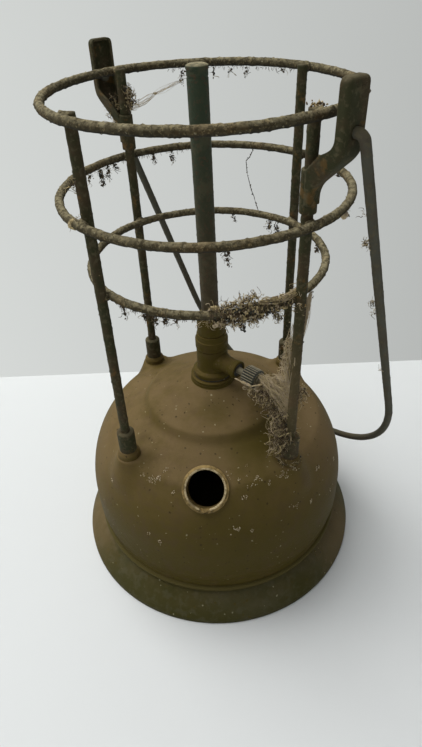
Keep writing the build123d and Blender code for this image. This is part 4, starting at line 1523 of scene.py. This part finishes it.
class Litter:
    """A shape of litter with its own random draws."""

    def __init__(self, seed):
        self.shape = Shape()
        self.rng = random.Random(seed)

    def some(self, spread):
        """A random step, mostly within the spread."""
        draw = self.rng.gauss
        return Vector((draw(0, spread), draw(0, spread), draw(0, spread))) * 0.6

    def on_line(self, line, spread):
        """A random place near a line of places."""
        place = self.rng.random() * (len(line) - 1)
        i = min(int(place), len(line) - 2)
        return line[i].lerp(line[i + 1], place - i) + self.some(spread)

    def fibre(self, start, end, bow, radius, mark, steps=6):
        """Adds a thin bent fibre between two places."""
        out = self.some(bow)
        curl = self.some(bow * 0.5)
        draw = self.rng.random
        side = (end - start).cross(Vector((draw() + 0.2, draw(), draw()))).normalized()
        other = (end - start).cross(side).normalized()
        rows = []
        for i in range(steps + 1):
            t = i / steps
            centre = start.lerp(end, t) + out * 4 * t * (1 - t) + curl * math.sin(2 * math.pi * t)
            thin = radius * (1 - 0.5 * abs(2 * t - 1) ** 3)
            outs = [side * math.cos(angle) + other * math.sin(angle) for angle in even_turn(3)]
            rows.append([centre + step * thin for step in outs])
        self.shape.grid(rows, closed_rows=True, mark=mark)

    def crumb(self, centre, size, mark):
        """Adds a jagged flake of husk or grit."""
        draw = self.rng.uniform
        turn = Euler([draw(0, 2 * math.pi) for _ in range(3)]).to_matrix()
        half = Vector((draw(0.6, 1.0), draw(0.35, 0.8), draw(0.15, 0.4))) * size
        rows = []
        for tilt in FLAKE_TILTS:
            row = []
            for angle in even_turn(5):
                spot = polar(math.sin(tilt) * draw(0.6, 1.25), angle, math.cos(tilt))
                row.append(centre + turn @ (spot * half))
            if tilt in (FLAKE_TILTS[0], FLAKE_TILTS[-1]):
                row = [row[0]] * len(row)
            rows.append(row)
        self.shape.grid(rows, closed_rows=True, mark=mark)

    def tangle(self, line, spread, count, reach, radius, marks, fall=0.0):
        """Adds curled fibres about a line, in millimetres, of materials chosen from marks."""
        rng = self.rng
        reach *= MM
        for _ in range(count):
            start = self.on_line(line, spread * MM)
            way = Vector((rng.gauss(0, 1), rng.gauss(0, 1), rng.gauss(-fall, 1))).normalized()
            end = start + way * reach * rng.uniform(0.4, 1.0)
            thin = radius * MM * rng.uniform(0.6, 1.3)
            self.fibre(start, end, reach * 0.35, thin, rng.choice(marks))

    def crumbs(self, line, spread, count, size, marks):
        """Adds crumbs about a line, in millimetres, of materials chosen from marks."""
        for _ in range(count):
            centre = self.on_line(line, spread * MM)
            self.crumb(centre, size * MM * self.rng.uniform(0.45, 1.15), self.rng.choice(marks))

    def add(self, name, body="stand"):
        """Puts the litter in the scene as a piece."""
        piece = put_in_scene(name, self.shape, [finish(slot) for slot in LITTER_SLOTS])
        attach(piece, body)


def build_knob_web():
    """Web from the knob to the front right post, and the husks and straw that hang in it."""
    pile = Litter(11)
    rng = pile.rng
    axis = Vector(JOINTS["cock_turn"]["axis"])
    tip = middle("control_knob") + axis * 6 * MM
    foot = high("post_socket_front_right")
    upper = [
        tip + mm(0, 0, 4),
        tip.lerp(post_place("front_right", foot + 42 * MM), 0.5),
        post_spot("front_right", foot + 74 * MM, 160),
    ]
    for _ in range(300):
        start = pile.on_line(upper, 1.4 * MM)
        end = post_spot("front_right", foot + rng.uniform(22, 70) * MM, rng.uniform(130, 190))
        if end.z > start.z + 12 * MM:
            end.z = start.z - rng.uniform(2, 16) * MM
        radius = rng.uniform(0.07, 0.2) * MM
        pile.fibre(start, end, 2.4 * MM, radius, rng.choice([WEB, WEB, WEB, STRAW]), 5)
    pile.crumbs(upper, 3.0, 70, 0.5, [WEB, STRAW, HUSK, GRIME])
    mass = [
        tip + mm(1, -1, -5),
        tip.lerp(post_place("front_right", foot + 10 * MM), 0.5),
        post_spot("front_right", foot + 4 * MM, 190, 2.5),
        post_spot("front_right", foot - 7 * MM, 190, 3.5),
    ]
    pile.tangle(mass, 4.6, 760, 7.5, 0.2, [STRAW, HUSK, HUSK, WEB], 0.9)
    pile.crumbs(mass, 4.4, 420, 1.0, [HUSK, HUSK, GRIME, STRAW])
    near_tip = [tip + mm(-6, 0, -5), tip + mm(0, -3, -2), tip + mm(6, -4, -2)]
    pile.tangle(near_tip, 1.8, 130, 6, 0.28, [WEB, WEB, WEB, STRAW])
    pile.crumbs(near_tip, 1.8, 70, 0.9, [WEB, WEB, STRAW, HUSK])
    under = Vector((-0.62, -0.78, -0.05)).normalized() * 6.9 * MM
    along = [middle("control_knob") + axis * step * MM + under for step in (-6.5, -2.5, 1.5, 5.0)]
    along.append(tip + mm(2, -4, 1))
    for start, end in zip(along, along[1:]):
        for _ in range(5):
            ends = (start + pile.some(0.4 * MM), end + pile.some(0.4 * MM))
            pile.fibre(*ends, 0.5 * MM, 0.3 * MM, WEB, 4)
    beside = [post_spot("front_right", foot + step * MM, 20, 2) for step in (24, 34)]
    pile.tangle(beside, 1.8, 50, 5, 0.18, [STRAW, HUSK, WEB])
    pile.crumbs(beside, 2.0, 30, 0.8, [HUSK, GRIME, WEB])
    seat = low("post_flange_front_right") + 2.5 * MM
    around = [post_spot("front_right", seat, a, 3.6) for a in (150, 190, 230, 270, 310, 345)]
    pile.crumbs(around, 1.5, 150, 0.8, [HUSK, GRIME, HUSK, STRAW])
    pile.tangle(around, 1.2, 60, 3, 0.13, [WEB, STRAW, HUSK])
    on_socket = [post_spot("front_right", foot - 1 * MM, a, 2.6) for a in (170, 230, 290, 340)]
    pile.crumbs(on_socket, 1.0, 60, 0.7, [HUSK, GRIME, STRAW])
    pile.add("knob_web")


def build_ring_crust():
    """Thick crust of husks on the bottom ring, out to the front right post."""
    pile = Litter(5)
    rng = pile.rng
    ring = "bottom_ring"
    above = ring_line(ring, 95, [(-83, 0.6), (-76, 1.6), (-70, 3.2), (-64, 4.4)])
    below = ring_line(ring, -60, [(-82, 0.8), (-75, 1.6), (-68, 1.8), (-62, 1.0)])
    pile.crumbs(above, 1.1, 150, 1.1, [STRAW, STRAW, HUSK, WEB])
    pile.crumbs(below, 1.1, 150, 1.0, [STRAW, STRAW, HUSK, WEB])
    pile.tangle(above, 1.6, 120, 4.5, 0.18, [STRAW, WEB, HUSK])
    pile.tangle(below, 1.6, 120, 4.5, 0.18, [STRAW, WEB, HUSK], 0.8)
    pile.crumbs(ring_line(ring, -80, [(-72, 3), (-70, 6.5)]), 1.3, 34, 1.0, [GRIME, GRIME, HUSK])
    second = ring_line(ring, -80, [(-56, 2), (-54, 5.0)])
    pile.crumbs(second, 1.3, 42, 1.0, [STRAW, HUSK, GRIME])
    pile.tangle(second, 1.5, 50, 3.5, 0.16, [STRAW, HUSK])
    along = ring_line(ring, 60, [(-64, 4.6), (-60, 3.0), (-55, 1.2), (-49, 2.0), (-44, 4.0)])
    for _ in range(42):
        shift = pile.some(1.1 * MM)
        for start, end in zip(along, along[1:]):
            mark = rng.choice([STRAW, WEB])
            pile.fibre(start + shift, end + shift, 0.5 * MM, 0.2 * MM, mark, 4)
    pile.crumbs(along[1:], 1.3, 60, 0.9, [HUSK, STRAW, GRIME])
    joint = ring_spot(ring, -45, 0, 2)
    near_joint = [joint + mm(0, 0, -7), joint + mm(-1, 1, 6)]
    pile.crumbs(near_joint, 2.0, 90, 0.9, [STRAW, HUSK, WEB, GRIME])
    pile.tangle(near_joint, 1.8, 90, 5, 0.16, [STRAW, WEB])
    rusty = [joint + mm(0.6, -1.4, -2.0), joint + mm(1.2, -1.4, -3.4)]
    pile.crumbs(rusty, 0.7, 10, 1.3, [ORANGE])
    for _ in range(760):
        heading = rng.triangular(-86, -43, -66)
        turn = rng.uniform(-120, 120)
        spot = ring_spot(ring, heading, turn, rng.uniform(-0.2, 1.6))
        # Crumbs under the wire are drawn dark as painted shade; elsewhere two in five are dark husks.
        dark = turn < -50 or rng.random() < 0.4
        marks = [HUSK, HUSK, GRIME] if dark else [STRAW, STRAW, WEB, HUSK]
        pile.crumb(spot, rng.uniform(0.5, 1.4) * MM, rng.choice(marks))
    pile.add("ring_crust")


# Beads under the rings: ring, then degrees round it, drop in steps and number of fibres.
RING_BEADS = [
    ("top_ring", [(90, 3, 5), (82, 2, 4), (75, 3, 5), (104, 5, 10), (58, 1, 4)]),
    ("middle_ring", [(158, 3, 8), (151, 6, 24), (146, 4, 14), (142, 2, 8)]),
    ("middle_ring", [(121, 3, 9), (112, 4, 8), (-78, 4, 9)]),
    ("bottom_ring", [(80, 3, 6), (58, 4, 12), (53, 5, 14), (17, 3, 10)]),
    ("bottom_ring", [(-98, 1, 6), (-104, 2, 10), (-109, 3, 12), (-114, 2, 8), (-126, 4, 10)]),
    ("middle_ring", [(20, 1, 5), (-22, 2, 6)]),
]
BEAD_STEP = 1.6
# Fringes under the rings: ring, and the degrees between which it hangs.
RING_FRINGES = [("top_ring", 50, 110), ("middle_ring", 100, 165), ("bottom_ring", -130, -90)]


def build_hanging_webs():
    """Loose webs, beads and threads that hang from the rings."""
    pile = Litter(23)
    rng = pile.rng
    height = middle("bottom_ring").z
    veil_top = ring_spot("bottom_ring", -33, -60)
    veil_end = post_spot("front_right", height, 10)
    veil_low = post_spot("front_right", height - 24 * MM, 10)
    for _ in range(90):
        start = veil_top.lerp(veil_end, rng.random()) + pile.some(0.6 * MM)
        end = start.lerp(veil_low, rng.uniform(0.3, 1))
        pile.fibre(start, end, 1.0 * MM, 0.1 * MM, WEB, 4)
    pile.crumbs([veil_top, veil_top + mm(0, 0, -5)], 1.0, 12, 0.7, [GRIME, HUSK])
    thread = [ring_spot("middle_ring", 71)]
    for x, z in ((-1.5, -6), (-5.0, -11), (-4.2, -19), (-2.4, -26), (0.6, -35), (3.6, -44)):
        thread.append(thread[0] + mm(x, 0, z))
    for start, end in zip(thread, thread[1:]):
        pile.fibre(start, end, 0.4 * MM, 0.24 * MM, GRIME, 4)
        pile.crumbs([start, end], 0.3, 9, 0.75, [GRIME, HUSK])
    beads = [(name, *bead) for name, row in RING_BEADS for bead in row]
    for name, degrees, drop, count in beads:
        top = ring_spot(name, degrees, -90)
        line = [top, top + mm(rng.uniform(-1, 1), 0, -BEAD_STEP * drop)]
        pile.crumbs(line, 1.0, count * 3, 1.0, [GRIME, HUSK, HUSK])
        pile.tangle(line, 0.8, count, 3.5, 0.14, [HUSK, GRIME, STRAW], 1.0)
    for name, start, end in RING_FRINGES:
        for _ in range(60):
            top = ring_spot(name, rng.uniform(start, end), -90)
            foot = top + pile.some(1.0 * MM) + mm(0, 0, -1.4)
            pile.fibre(top, foot, 0.4 * MM, 0.13 * MM, HUSK, 3)
    pile.add("hanging_webs")


def build_lug_dirt():
    """Dirt and web between the rear left lug and its post."""
    pile = Litter(31)
    out = post_place("rear_left").normalized()
    top = high("post_rear_left")
    pan = post_place("rear_left", top - 15 * MM) + out * 9 * MM
    pile.crumbs([pan, pan + mm(0, 0, -10) - out * 3 * MM], 2.2, 60, 1.1, [HUSK, GRIME, STRAW])
    pile.tangle([pan, pan + mm(0, 0, -12)], 2.4, 60, 7, 0.14, [WEB, STRAW, HUSK])
    clump = post_place("rear_left", top - 13 * MM) + mm(4.2, -1, 0)
    tall = [clump + mm(-2.4, 0, 5), clump, clump + mm(-1.6, 0, -6)]
    pile.crumbs(tall, 1.9, 190, 1.2, [HUSK, HUSK, STRAW, GRIME])
    pile.tangle(tall, 2.0, 110, 4.5, 0.16, [STRAW, HUSK, WEB])
    near, far = tall[-1], ring_spot("top_ring", 104, -90, 6)
    bead = near.lerp(far, 0.45) + mm(0, 0, 0.5)
    for _ in range(14):
        ends = (near + pile.some(1.5 * MM), bead + pile.some(1.0 * MM))
        pile.fibre(*ends, 1.5 * MM, 0.09 * MM, WEB)
        ends = (bead + pile.some(1.0 * MM), far + pile.some(0.4 * MM))
        pile.fibre(*ends, 1.0 * MM, 0.06 * MM, WEB)
    pile.crumbs([bead, bead + mm(1, 0, 1)], 0.8, 9, 1.0, [SEED, WEB])
    pile.add("lug_dirt")


# Bits on the posts: post, lowest and highest in millimetres, heading, number.
POST_BITS = [
    ("front_left", 150, 280, 200, 34),
    ("front_left", 190, 260, 350, 18),
    ("rear_left", 110, 240, 180, 14),
    ("rear_right", 110, 240, 200, 30),
    ("front_right", 130, 230, 20, 34),
]


def build_column_nest():
    """Straw and a seed caught where the bottom ring passes the column, and bits on the rods."""
    pile = Litter(47)
    rng = pile.rng
    s = sizes()[2]
    front = Vector((1.5 * MM, -s.tube - 2 * MM, high("vaporiser_neck") - 3 * MM))
    line = [front + mm(-6, 1, 2), front, front + mm(7, 1.5, 1)]
    pile.tangle(line, 1.4, 70, 7, 0.2, [WEB, STRAW, STRAW])
    pile.crumbs(line, 1.4, 34, 0.8, [STRAW, WEB, HUSK])
    for i in range(3):
        seed = front + mm(1.5 + 1.1 * i, -1.6, -1.5 + 0.5 * i)
        lump(pile.shape, seed, (1.5 * MM, 1.1 * MM, 1.1 * MM), 0.2, SEED, 10)
    top = high("vaporiser_tube")
    tube_side = [Vector((-s.tube, 0, top - drop * MM)) for drop in (5, 34)]
    pile.crumbs(tube_side, 0.7, 34, 0.55, [HUSK, GRIME, STRAW])
    seat = Vector((s.cock * 0.62, -s.cock * 0.86, low("cock_body") + 15 * MM))
    pile.crumbs([seat, seat + mm(2, 0, -1)], 0.9, 10, 0.7, [HUSK, STRAW])
    for name, lowest, highest, heading, count in POST_BITS:
        for _ in range(count):
            height = rng.uniform(lowest, highest) * MM
            spot = post_spot(name, height, heading + rng.gauss(0, 25))
            pile.crumb(spot, rng.uniform(0.4, 0.9) * MM, rng.choice([HUSK, GRIME, GRIME, STRAW]))
    stub = post_place("front_right", high("post_front_right"))
    pile.crumbs([stub + mm(-2, 1, 0), stub + mm(3, 1, 0.5)], 1.3, 70, 1.0, [STRAW, HUSK, WEB])
    beyond = ring_spot("top_ring", -33, -60)
    pile.crumbs([beyond, beyond + mm(0, 0, -4)], 0.9, 60, 1.1, [STRAW, WEB, HUSK])
    crotch = stub + mm(0, -2.5, -20)
    pile.crumbs([crotch, crotch + mm(2.5, 0, 1.5)], 0.8, 40, 1.0, [STRAW, WEB])
    below = ring_spot("middle_ring", -24, -90) + mm(0, 0, -1.6)
    lump(pile.shape, below, (1.9 * MM, 1.6 * MM, 1.7 * MM), 0.4, WEB, 12)
    straw = post_spot("front_left", 262 * MM, 200, 1)
    pile.tangle([straw, straw + mm(0, 0, -4)], 1.2, 16, 5, 0.18, [STRAW, HUSK])
    cocoon = post_spot("front_left", 243 * MM, 190, 4)
    lump(pile.shape, cocoon, (2.6 * MM, 2.0 * MM, 2.2 * MM), 0.6, STRAW, 12)
    pile.tangle([cocoon, cocoon + mm(3, 0, 3)], 1.5, 20, 4, 0.12, [WEB, STRAW])
    pile.add("column_nest")


# Lime spots on the tank: heading in degrees, height in millimetres, number, spread.
LIME_PLACES = [
    (-122, 94.5, 3, 0.8), (-118.5, 94.5, 6, 0.9), (-115, 94.5, 6, 0.9), (-112.5, 99, 2, 0.7),
    (-105, 92.5, 1, 0.1), (-139, 81.5, 1, 0.2), (-78, 99, 2, 0.7), (-73.4, 98.5, 1, 0.1),
    (-68, 99.5, 2, 0.9), (-64, 97.2, 5, 0.8), (-59, 93.8, 2, 0.7), (-72, 91, 3, 0.9),
    (-68, 95.3, 2, 0.6), (-51.5, 97, 7, 1.0), (-47.5, 99.5, 3, 0.8), (-50, 75.5, 3, 0.9),
    (-40, 72.3, 2, 1.0), (-26, 62.6, 1, 0.5), (-77, 74.5, 4, 1.3), (-71, 71.5, 2, 1.1),
    (-115, 65, 2, 2.0), (-31, 83, 2, 1.5), (-16.5, 73, 2, 1.5),
]


def build_dried_spots():
    """Dirt on the foot and dried lime spots on the tank."""
    pile = Litter(61)
    rng = pile.rng
    s = sizes()[0]
    flare = half_width("tank_skirt") - s.seam_radius - 2 * MM
    for _ in range(70):
        heading = math.radians(rng.uniform(-48, 12))
        share = rng.random()
        radius = s.seam_radius + 1.5 * MM + share * flare
        height = s.seam_low + 1 * MM - share * (s.seam_low - s.foot_band)
        spot = polar(radius, heading, height)
        pile.crumb(spot, rng.uniform(0.3, 0.7) * MM, rng.choice([HUSK, GRIME, HUSK, STRAW]))
    graph = bpy.context.evaluated_depsgraph_get()
    ground = BVHTree.FromObject(bpy.data.objects["tank_shell"], graph)
    for heading, height, count, spread in LIME_PLACES:
        for _ in range(count):
            turn = math.radians(heading + rng.gauss(0, spread))
            lime_spot(pile, ground, turn, (height + rng.gauss(0, spread * 0.9)) * MM)
    pile.add("dried_spots")


def lime_spot(pile, ground, heading, height):
    """Adds a little ring or heap of lime crumbs on the tank at a heading and height."""
    rng = pile.rng
    way = polar(1, heading)
    spot, normal, _, _ = ground.ray_cast(way * 0.2 + Vector((0, 0, height)), -way)
    if spot is None:
        return
    side = normal.orthogonal().normalized()
    other = normal.cross(side)
    size = rng.uniform(0.55, 1.3) * MM
    if rng.random() < 0.4:
        for _ in range(3):
            near = spot + side * rng.gauss(0, size) + other * rng.gauss(0, size)
            pile.crumb(near, size * 0.6, SEED)
        return
    count = rng.randint(4, 8)
    for i in range(count):
        angle = (i + rng.uniform(-0.3, 0.3)) * 2 * math.pi / count
        out = side * math.cos(angle) + other * rng.uniform(0.5, 1.0) * math.sin(angle)
        near = spot + out * size * rng.uniform(0.7, 1.1)
        pile.crumb(near, size * rng.uniform(0.35, 0.65), SEED)


# Tufts on the bail: share of the leg's length, number of fibres, size of crumbs in millimetres.
BAIL_TUFTS = [(0.29, 26, 0.9), (0.5, 16, 0.6), (0.54, 12, 0.6), (0.2, 4, 0.4), (0.8, 5, 0.4)]


def build_bail_tufts():
    """Tufts caught on the bail's leg."""
    pile = Litter(71)
    s = sizes()[1]
    pivot, axis, down, half = bail_frame(s)
    leg = pivot + axis * half
    for share, count, size in BAIL_TUFTS:
        spot = leg + down * s.bail_leg * share + Vector((-1, 0, 0)) * s.bail_wire
        line = [spot, spot + mm(-2.0, -0.2, -0.6)]
        pile.tangle(line, 0.9, count, 3.2, 0.14, [STRAW, HUSK, WEB])
        pile.crumbs(line, 0.9, count // 2, size, [HUSK, STRAW])
    pile.add("bail_tufts", "bail")


# ---- stage

FLOOR_REACH = 3.0
BACKDROP_REACH = 2.0
BACKDROP_HEIGHT = 1.6
KEY_PLACE = Vector((-0.7, 0.45, 1.75))
FILL_PLACE = Vector((-0.6, -1.5, 1.2))


def oblong(reach, start, end):
    """Corners of an oblong that reaches as far to both sides, and goes from start to end."""
    return [(-reach, start), (reach, start), (reach, end), (-reach, end)]


def build_stage():
    """Floor, backdrop, lamps and camera."""
    s = bpy.context.scene.heater_stage
    turn = Matrix.Rotation(s.camera_heading, 4, "Z")
    flat = [(x, y, 0) for x, y in oblong(FLOOR_REACH, -FLOOR_REACH, FLOOR_REACH)]
    put_on_stage("floor", flat, paper("Floor paper", s.floor_colour, False))
    far = s.backdrop_distance
    corners = oblong(BACKDROP_REACH, 0, BACKDROP_HEIGHT)
    upright = [turn @ Vector((x, far, z)) for x, z in corners]
    wall = put_on_stage("backdrop", upright, paper("Backdrop paper", s.backdrop_colour, True))
    wall.visible_shadow = False
    lamp("Key", s.key_power, turn @ KEY_PLACE)
    lamp("Fill", s.fill_power, turn @ FILL_PLACE)
    world = bpy.data.worlds.new("Room")
    bpy.context.scene.world = world
    world.use_nodes = True
    tree = world.node_tree
    dim = tree.nodes["Background"]
    dim.inputs["Color"].default_value = (*s.room_colour, 1)
    dim.inputs["Strength"].default_value = s.room_light
    pale = node(tree, "ShaderNodeBackground", {"Color": (*s.backdrop_colour, 1), "Strength": 1.0})
    mixed = mix_shaders(tree, seen(tree), dim.outputs[0], pale.outputs[0])
    tree.links.new(mixed, tree.nodes["World Output"].inputs["Surface"])
    camera = bpy.data.cameras.new("Camera")
    camera.sensor_width = s.sensor
    camera.lens = s.lens
    holder = new_object("Camera", camera)
    holder.matrix_world = (
        Matrix.Translation(turn @ Vector((0, -s.camera_distance, s.camera_height)))
        @ Matrix.Rotation(s.camera_heading + s.camera_turn, 4, "Z")
        @ Matrix.Rotation(math.pi / 2 - s.camera_pitch, 4, "X")
        @ Matrix.Rotation(s.camera_roll, 4, "Z")
    )
    bpy.context.scene.camera = holder
    bpy.context.scene.view_settings.view_transform = "Standard"


def put_on_stage(name, corners, material):
    """Puts a sheet in the scene as part of the stage."""
    sheet = Shape()
    sheet.polygon(corners)
    piece = put_in_scene(name, sheet, [material])
    return piece


def seen(tree):
    """1 for rays from the camera, and for those that gloss or glass sends on, else 0."""
    rays = tree.nodes.new("ShaderNodeLightPath").outputs
    either = maths(tree, "MAXIMUM", rays["Is Camera Ray"], rays["Is Glossy Ray"])
    return maths(tree, "MAXIMUM", either, rays["Is Transmission Ray"])


def paper(name, colour, backdrop):
    """Matt paper; as a backdrop it shows its own colour, with painted light on the left and painted shade on the
    right, and is clear from behind.
    """
    material = bpy.data.materials.new(name)
    material.use_nodes = True
    tree = material.node_tree
    shader = tree.nodes["Principled BSDF"]
    shader.inputs["Base Color"].default_value = (*colour, 1)
    shader.inputs["Roughness"].default_value = 0.9
    shader.inputs["Specular IOR Level"].default_value = 0.1
    if backdrop:
        # Painted light and shade across the backdrop: brighter to the left, darker to the right.
        away = between(tree, surface_parts(tree)["X"], -0.35, 0.35)
        left, right = ((*(part * share for part in colour), 1) for share in (1.12, 0.72))
        ends = {0: away, 6: left, 7: right}
        shade = node(tree, "ShaderNodeMix", ends, data_type="RGBA").outputs[2]
        glow = node(tree, "ShaderNodeEmission", {"Color": shade, "Strength": 1.0})
        front = mix_shaders(tree, seen(tree), shader.outputs[0], glow.outputs[0])
        behind = tree.nodes.new("ShaderNodeNewGeometry").outputs["Backfacing"]
        clear = tree.nodes.new("ShaderNodeBsdfTransparent").outputs[0]
        mixed = mix_shaders(tree, behind, front, clear)
        tree.links.new(mixed, tree.nodes["Material Output"].inputs["Surface"])
    return material


def lamp(name, power, place):
    """A soft square lamp that shines on the heater."""
    s = bpy.context.scene.heater_stage
    light = bpy.data.lights.new(name, "AREA")
    light.energy = power
    light.size = s.lamp_size
    aim = (Vector((0, 0, s.lamp_aim)) - place).to_track_quat("-Z", "Y").to_matrix().to_4x4()
    new_object(name, light).matrix_world = Matrix.Translation(place) @ aim


# ---- operators and panel


class HEATER_OT_tank(bpy.types.Operator):
    """Build the tank with its pads and its floor."""

    bl_idname = "heater.tank"
    bl_label = "Tank"

    def execute(self, context):
        build_tank_dome()
        dress("tank_floor", "skirt_paint")
        return {"FINISHED"}


class HEATER_OT_foot(bpy.types.Operator):
    """Build the flared foot with its collar and bead."""

    bl_idname = "heater.foot"
    bl_label = "Foot"

    def execute(self, context):
        build_tank_foot()
        return {"FINISHED"}


class HEATER_OT_filler(bpy.types.Operator):
    """Build the brass filler bush."""

    bl_idname = "heater.filler"
    bl_label = "Filler"

    def execute(self, context):
        build_filler()
        return {"FINISHED"}


class HEATER_OT_cock(bpy.types.Operator):
    """Build the boss, the seal and the cock with its arm."""

    bl_idname = "heater.cock"
    bl_label = "Cock"

    def execute(self, context):
        build_boss()
        build_cock()
        return {"FINISHED"}


class HEATER_OT_knob(bpy.types.Operator):
    """Build the fluted knob on its spindle."""

    bl_idname = "heater.knob"
    bl_label = "Knob"

    def execute(self, context):
        build_knob()
        return {"FINISHED"}


class HEATER_OT_vaporiser(bpy.types.Operator):
    """Build the nut, the sleeve, the tube and its cap."""

    bl_idname = "heater.vaporiser"
    bl_label = "Vaporiser"

    def execute(self, context):
        build_vaporiser()
        return {"FINISHED"}


class HEATER_OT_posts(bpy.types.Operator):
    """Build the four posts with their sockets."""

    bl_idname = "heater.posts"
    bl_label = "Posts"

    def execute(self, context):
        build_posts()
        return {"FINISHED"}


class HEATER_OT_rings(bpy.types.Operator):
    """Build the three wire rings."""

    bl_idname = "heater.rings"
    bl_label = "Rings"

    def execute(self, context):
        build_rings()
        return {"FINISHED"}


class HEATER_OT_lugs(bpy.types.Operator):
    """Build the two pressed lugs."""

    bl_idname = "heater.lugs"
    bl_label = "Lugs"

    def execute(self, context):
        build_lugs()
        return {"FINISHED"}


class HEATER_OT_bail(bpy.types.Operator):
    """Build the wire bail."""

    bl_idname = "heater.bail"
    bl_label = "Bail"

    def execute(self, context):
        build_bail()
        return {"FINISHED"}


class HEATER_OT_litter(bpy.types.Operator):
    """Scatter the webs, husks and dried spots."""

    bl_idname = "heater.litter"
    bl_label = "Litter"

    def execute(self, context):
        build_knob_web()
        build_ring_crust()
        build_hanging_webs()
        build_lug_dirt()
        build_column_nest()
        build_dried_spots()
        build_bail_tufts()
        return {"FINISHED"}


class HEATER_OT_stage(bpy.types.Operator):
    """Build the floor, the backdrop, the lamps and the camera."""

    bl_idname = "heater.stage"
    bl_label = "Stage"

    def execute(self, context):
        build_stage()
        return {"FINISHED"}


OPERATORS = [
    HEATER_OT_tank,
    HEATER_OT_foot,
    HEATER_OT_filler,
    HEATER_OT_cock,
    HEATER_OT_knob,
    HEATER_OT_vaporiser,
    HEATER_OT_posts,
    HEATER_OT_rings,
    HEATER_OT_lugs,
    HEATER_OT_bail,
    HEATER_OT_litter,
    HEATER_OT_stage,
]


class HEATER_PT_pieces(bpy.types.Panel):
    """Lists the pieces in the order they are built."""

    bl_label = "Heater"
    bl_space_type = "VIEW_3D"
    bl_region_type = "UI"
    bl_category = "Heater"

    def draw(self, context):
        column = self.layout.column(align=True)
        for item in OPERATORS:
            column.operator(item.bl_idname)


def main():
    """Registers everything and builds the pieces in order."""
    register()
    bpy.ops.heater.tank()
    bpy.ops.heater.foot()
    bpy.ops.heater.filler()
    bpy.ops.heater.cock()
    bpy.ops.heater.knob()
    bpy.ops.heater.vaporiser()
    bpy.ops.heater.posts()
    bpy.ops.heater.rings()
    bpy.ops.heater.lugs()
    bpy.ops.heater.bail()
    bpy.ops.heater.litter()
    bpy.ops.heater.stage()


GROUP_PLACES = {
    "heater_tank": HeaterTankSizes,
    "heater_cage": HeaterCageSizes,
    "heater_column": HeaterColumnSizes,
    "heater_colours": HeaterColours,
    "heater_stage": HeaterStageSizes,
}


def register():
    """Registers the classes and hangs the property groups on the scene."""
    for place, group in GROUP_PLACES.items():
        bpy.utils.register_class(group)
        setattr(bpy.types.Scene, place, PointerProperty(type=group))
    for item in (*OPERATORS, HEATER_PT_pieces):
        bpy.utils.register_class(item)


def unregister():
    """Takes everything back out."""
    for item in (HEATER_PT_pieces, *reversed(OPERATORS)):
        bpy.utils.unregister_class(item)
    for place, group in GROUP_PLACES.items():
        delattr(bpy.types.Scene, place)
        bpy.utils.unregister_class(group)


if __name__ == "__main__":
    main()
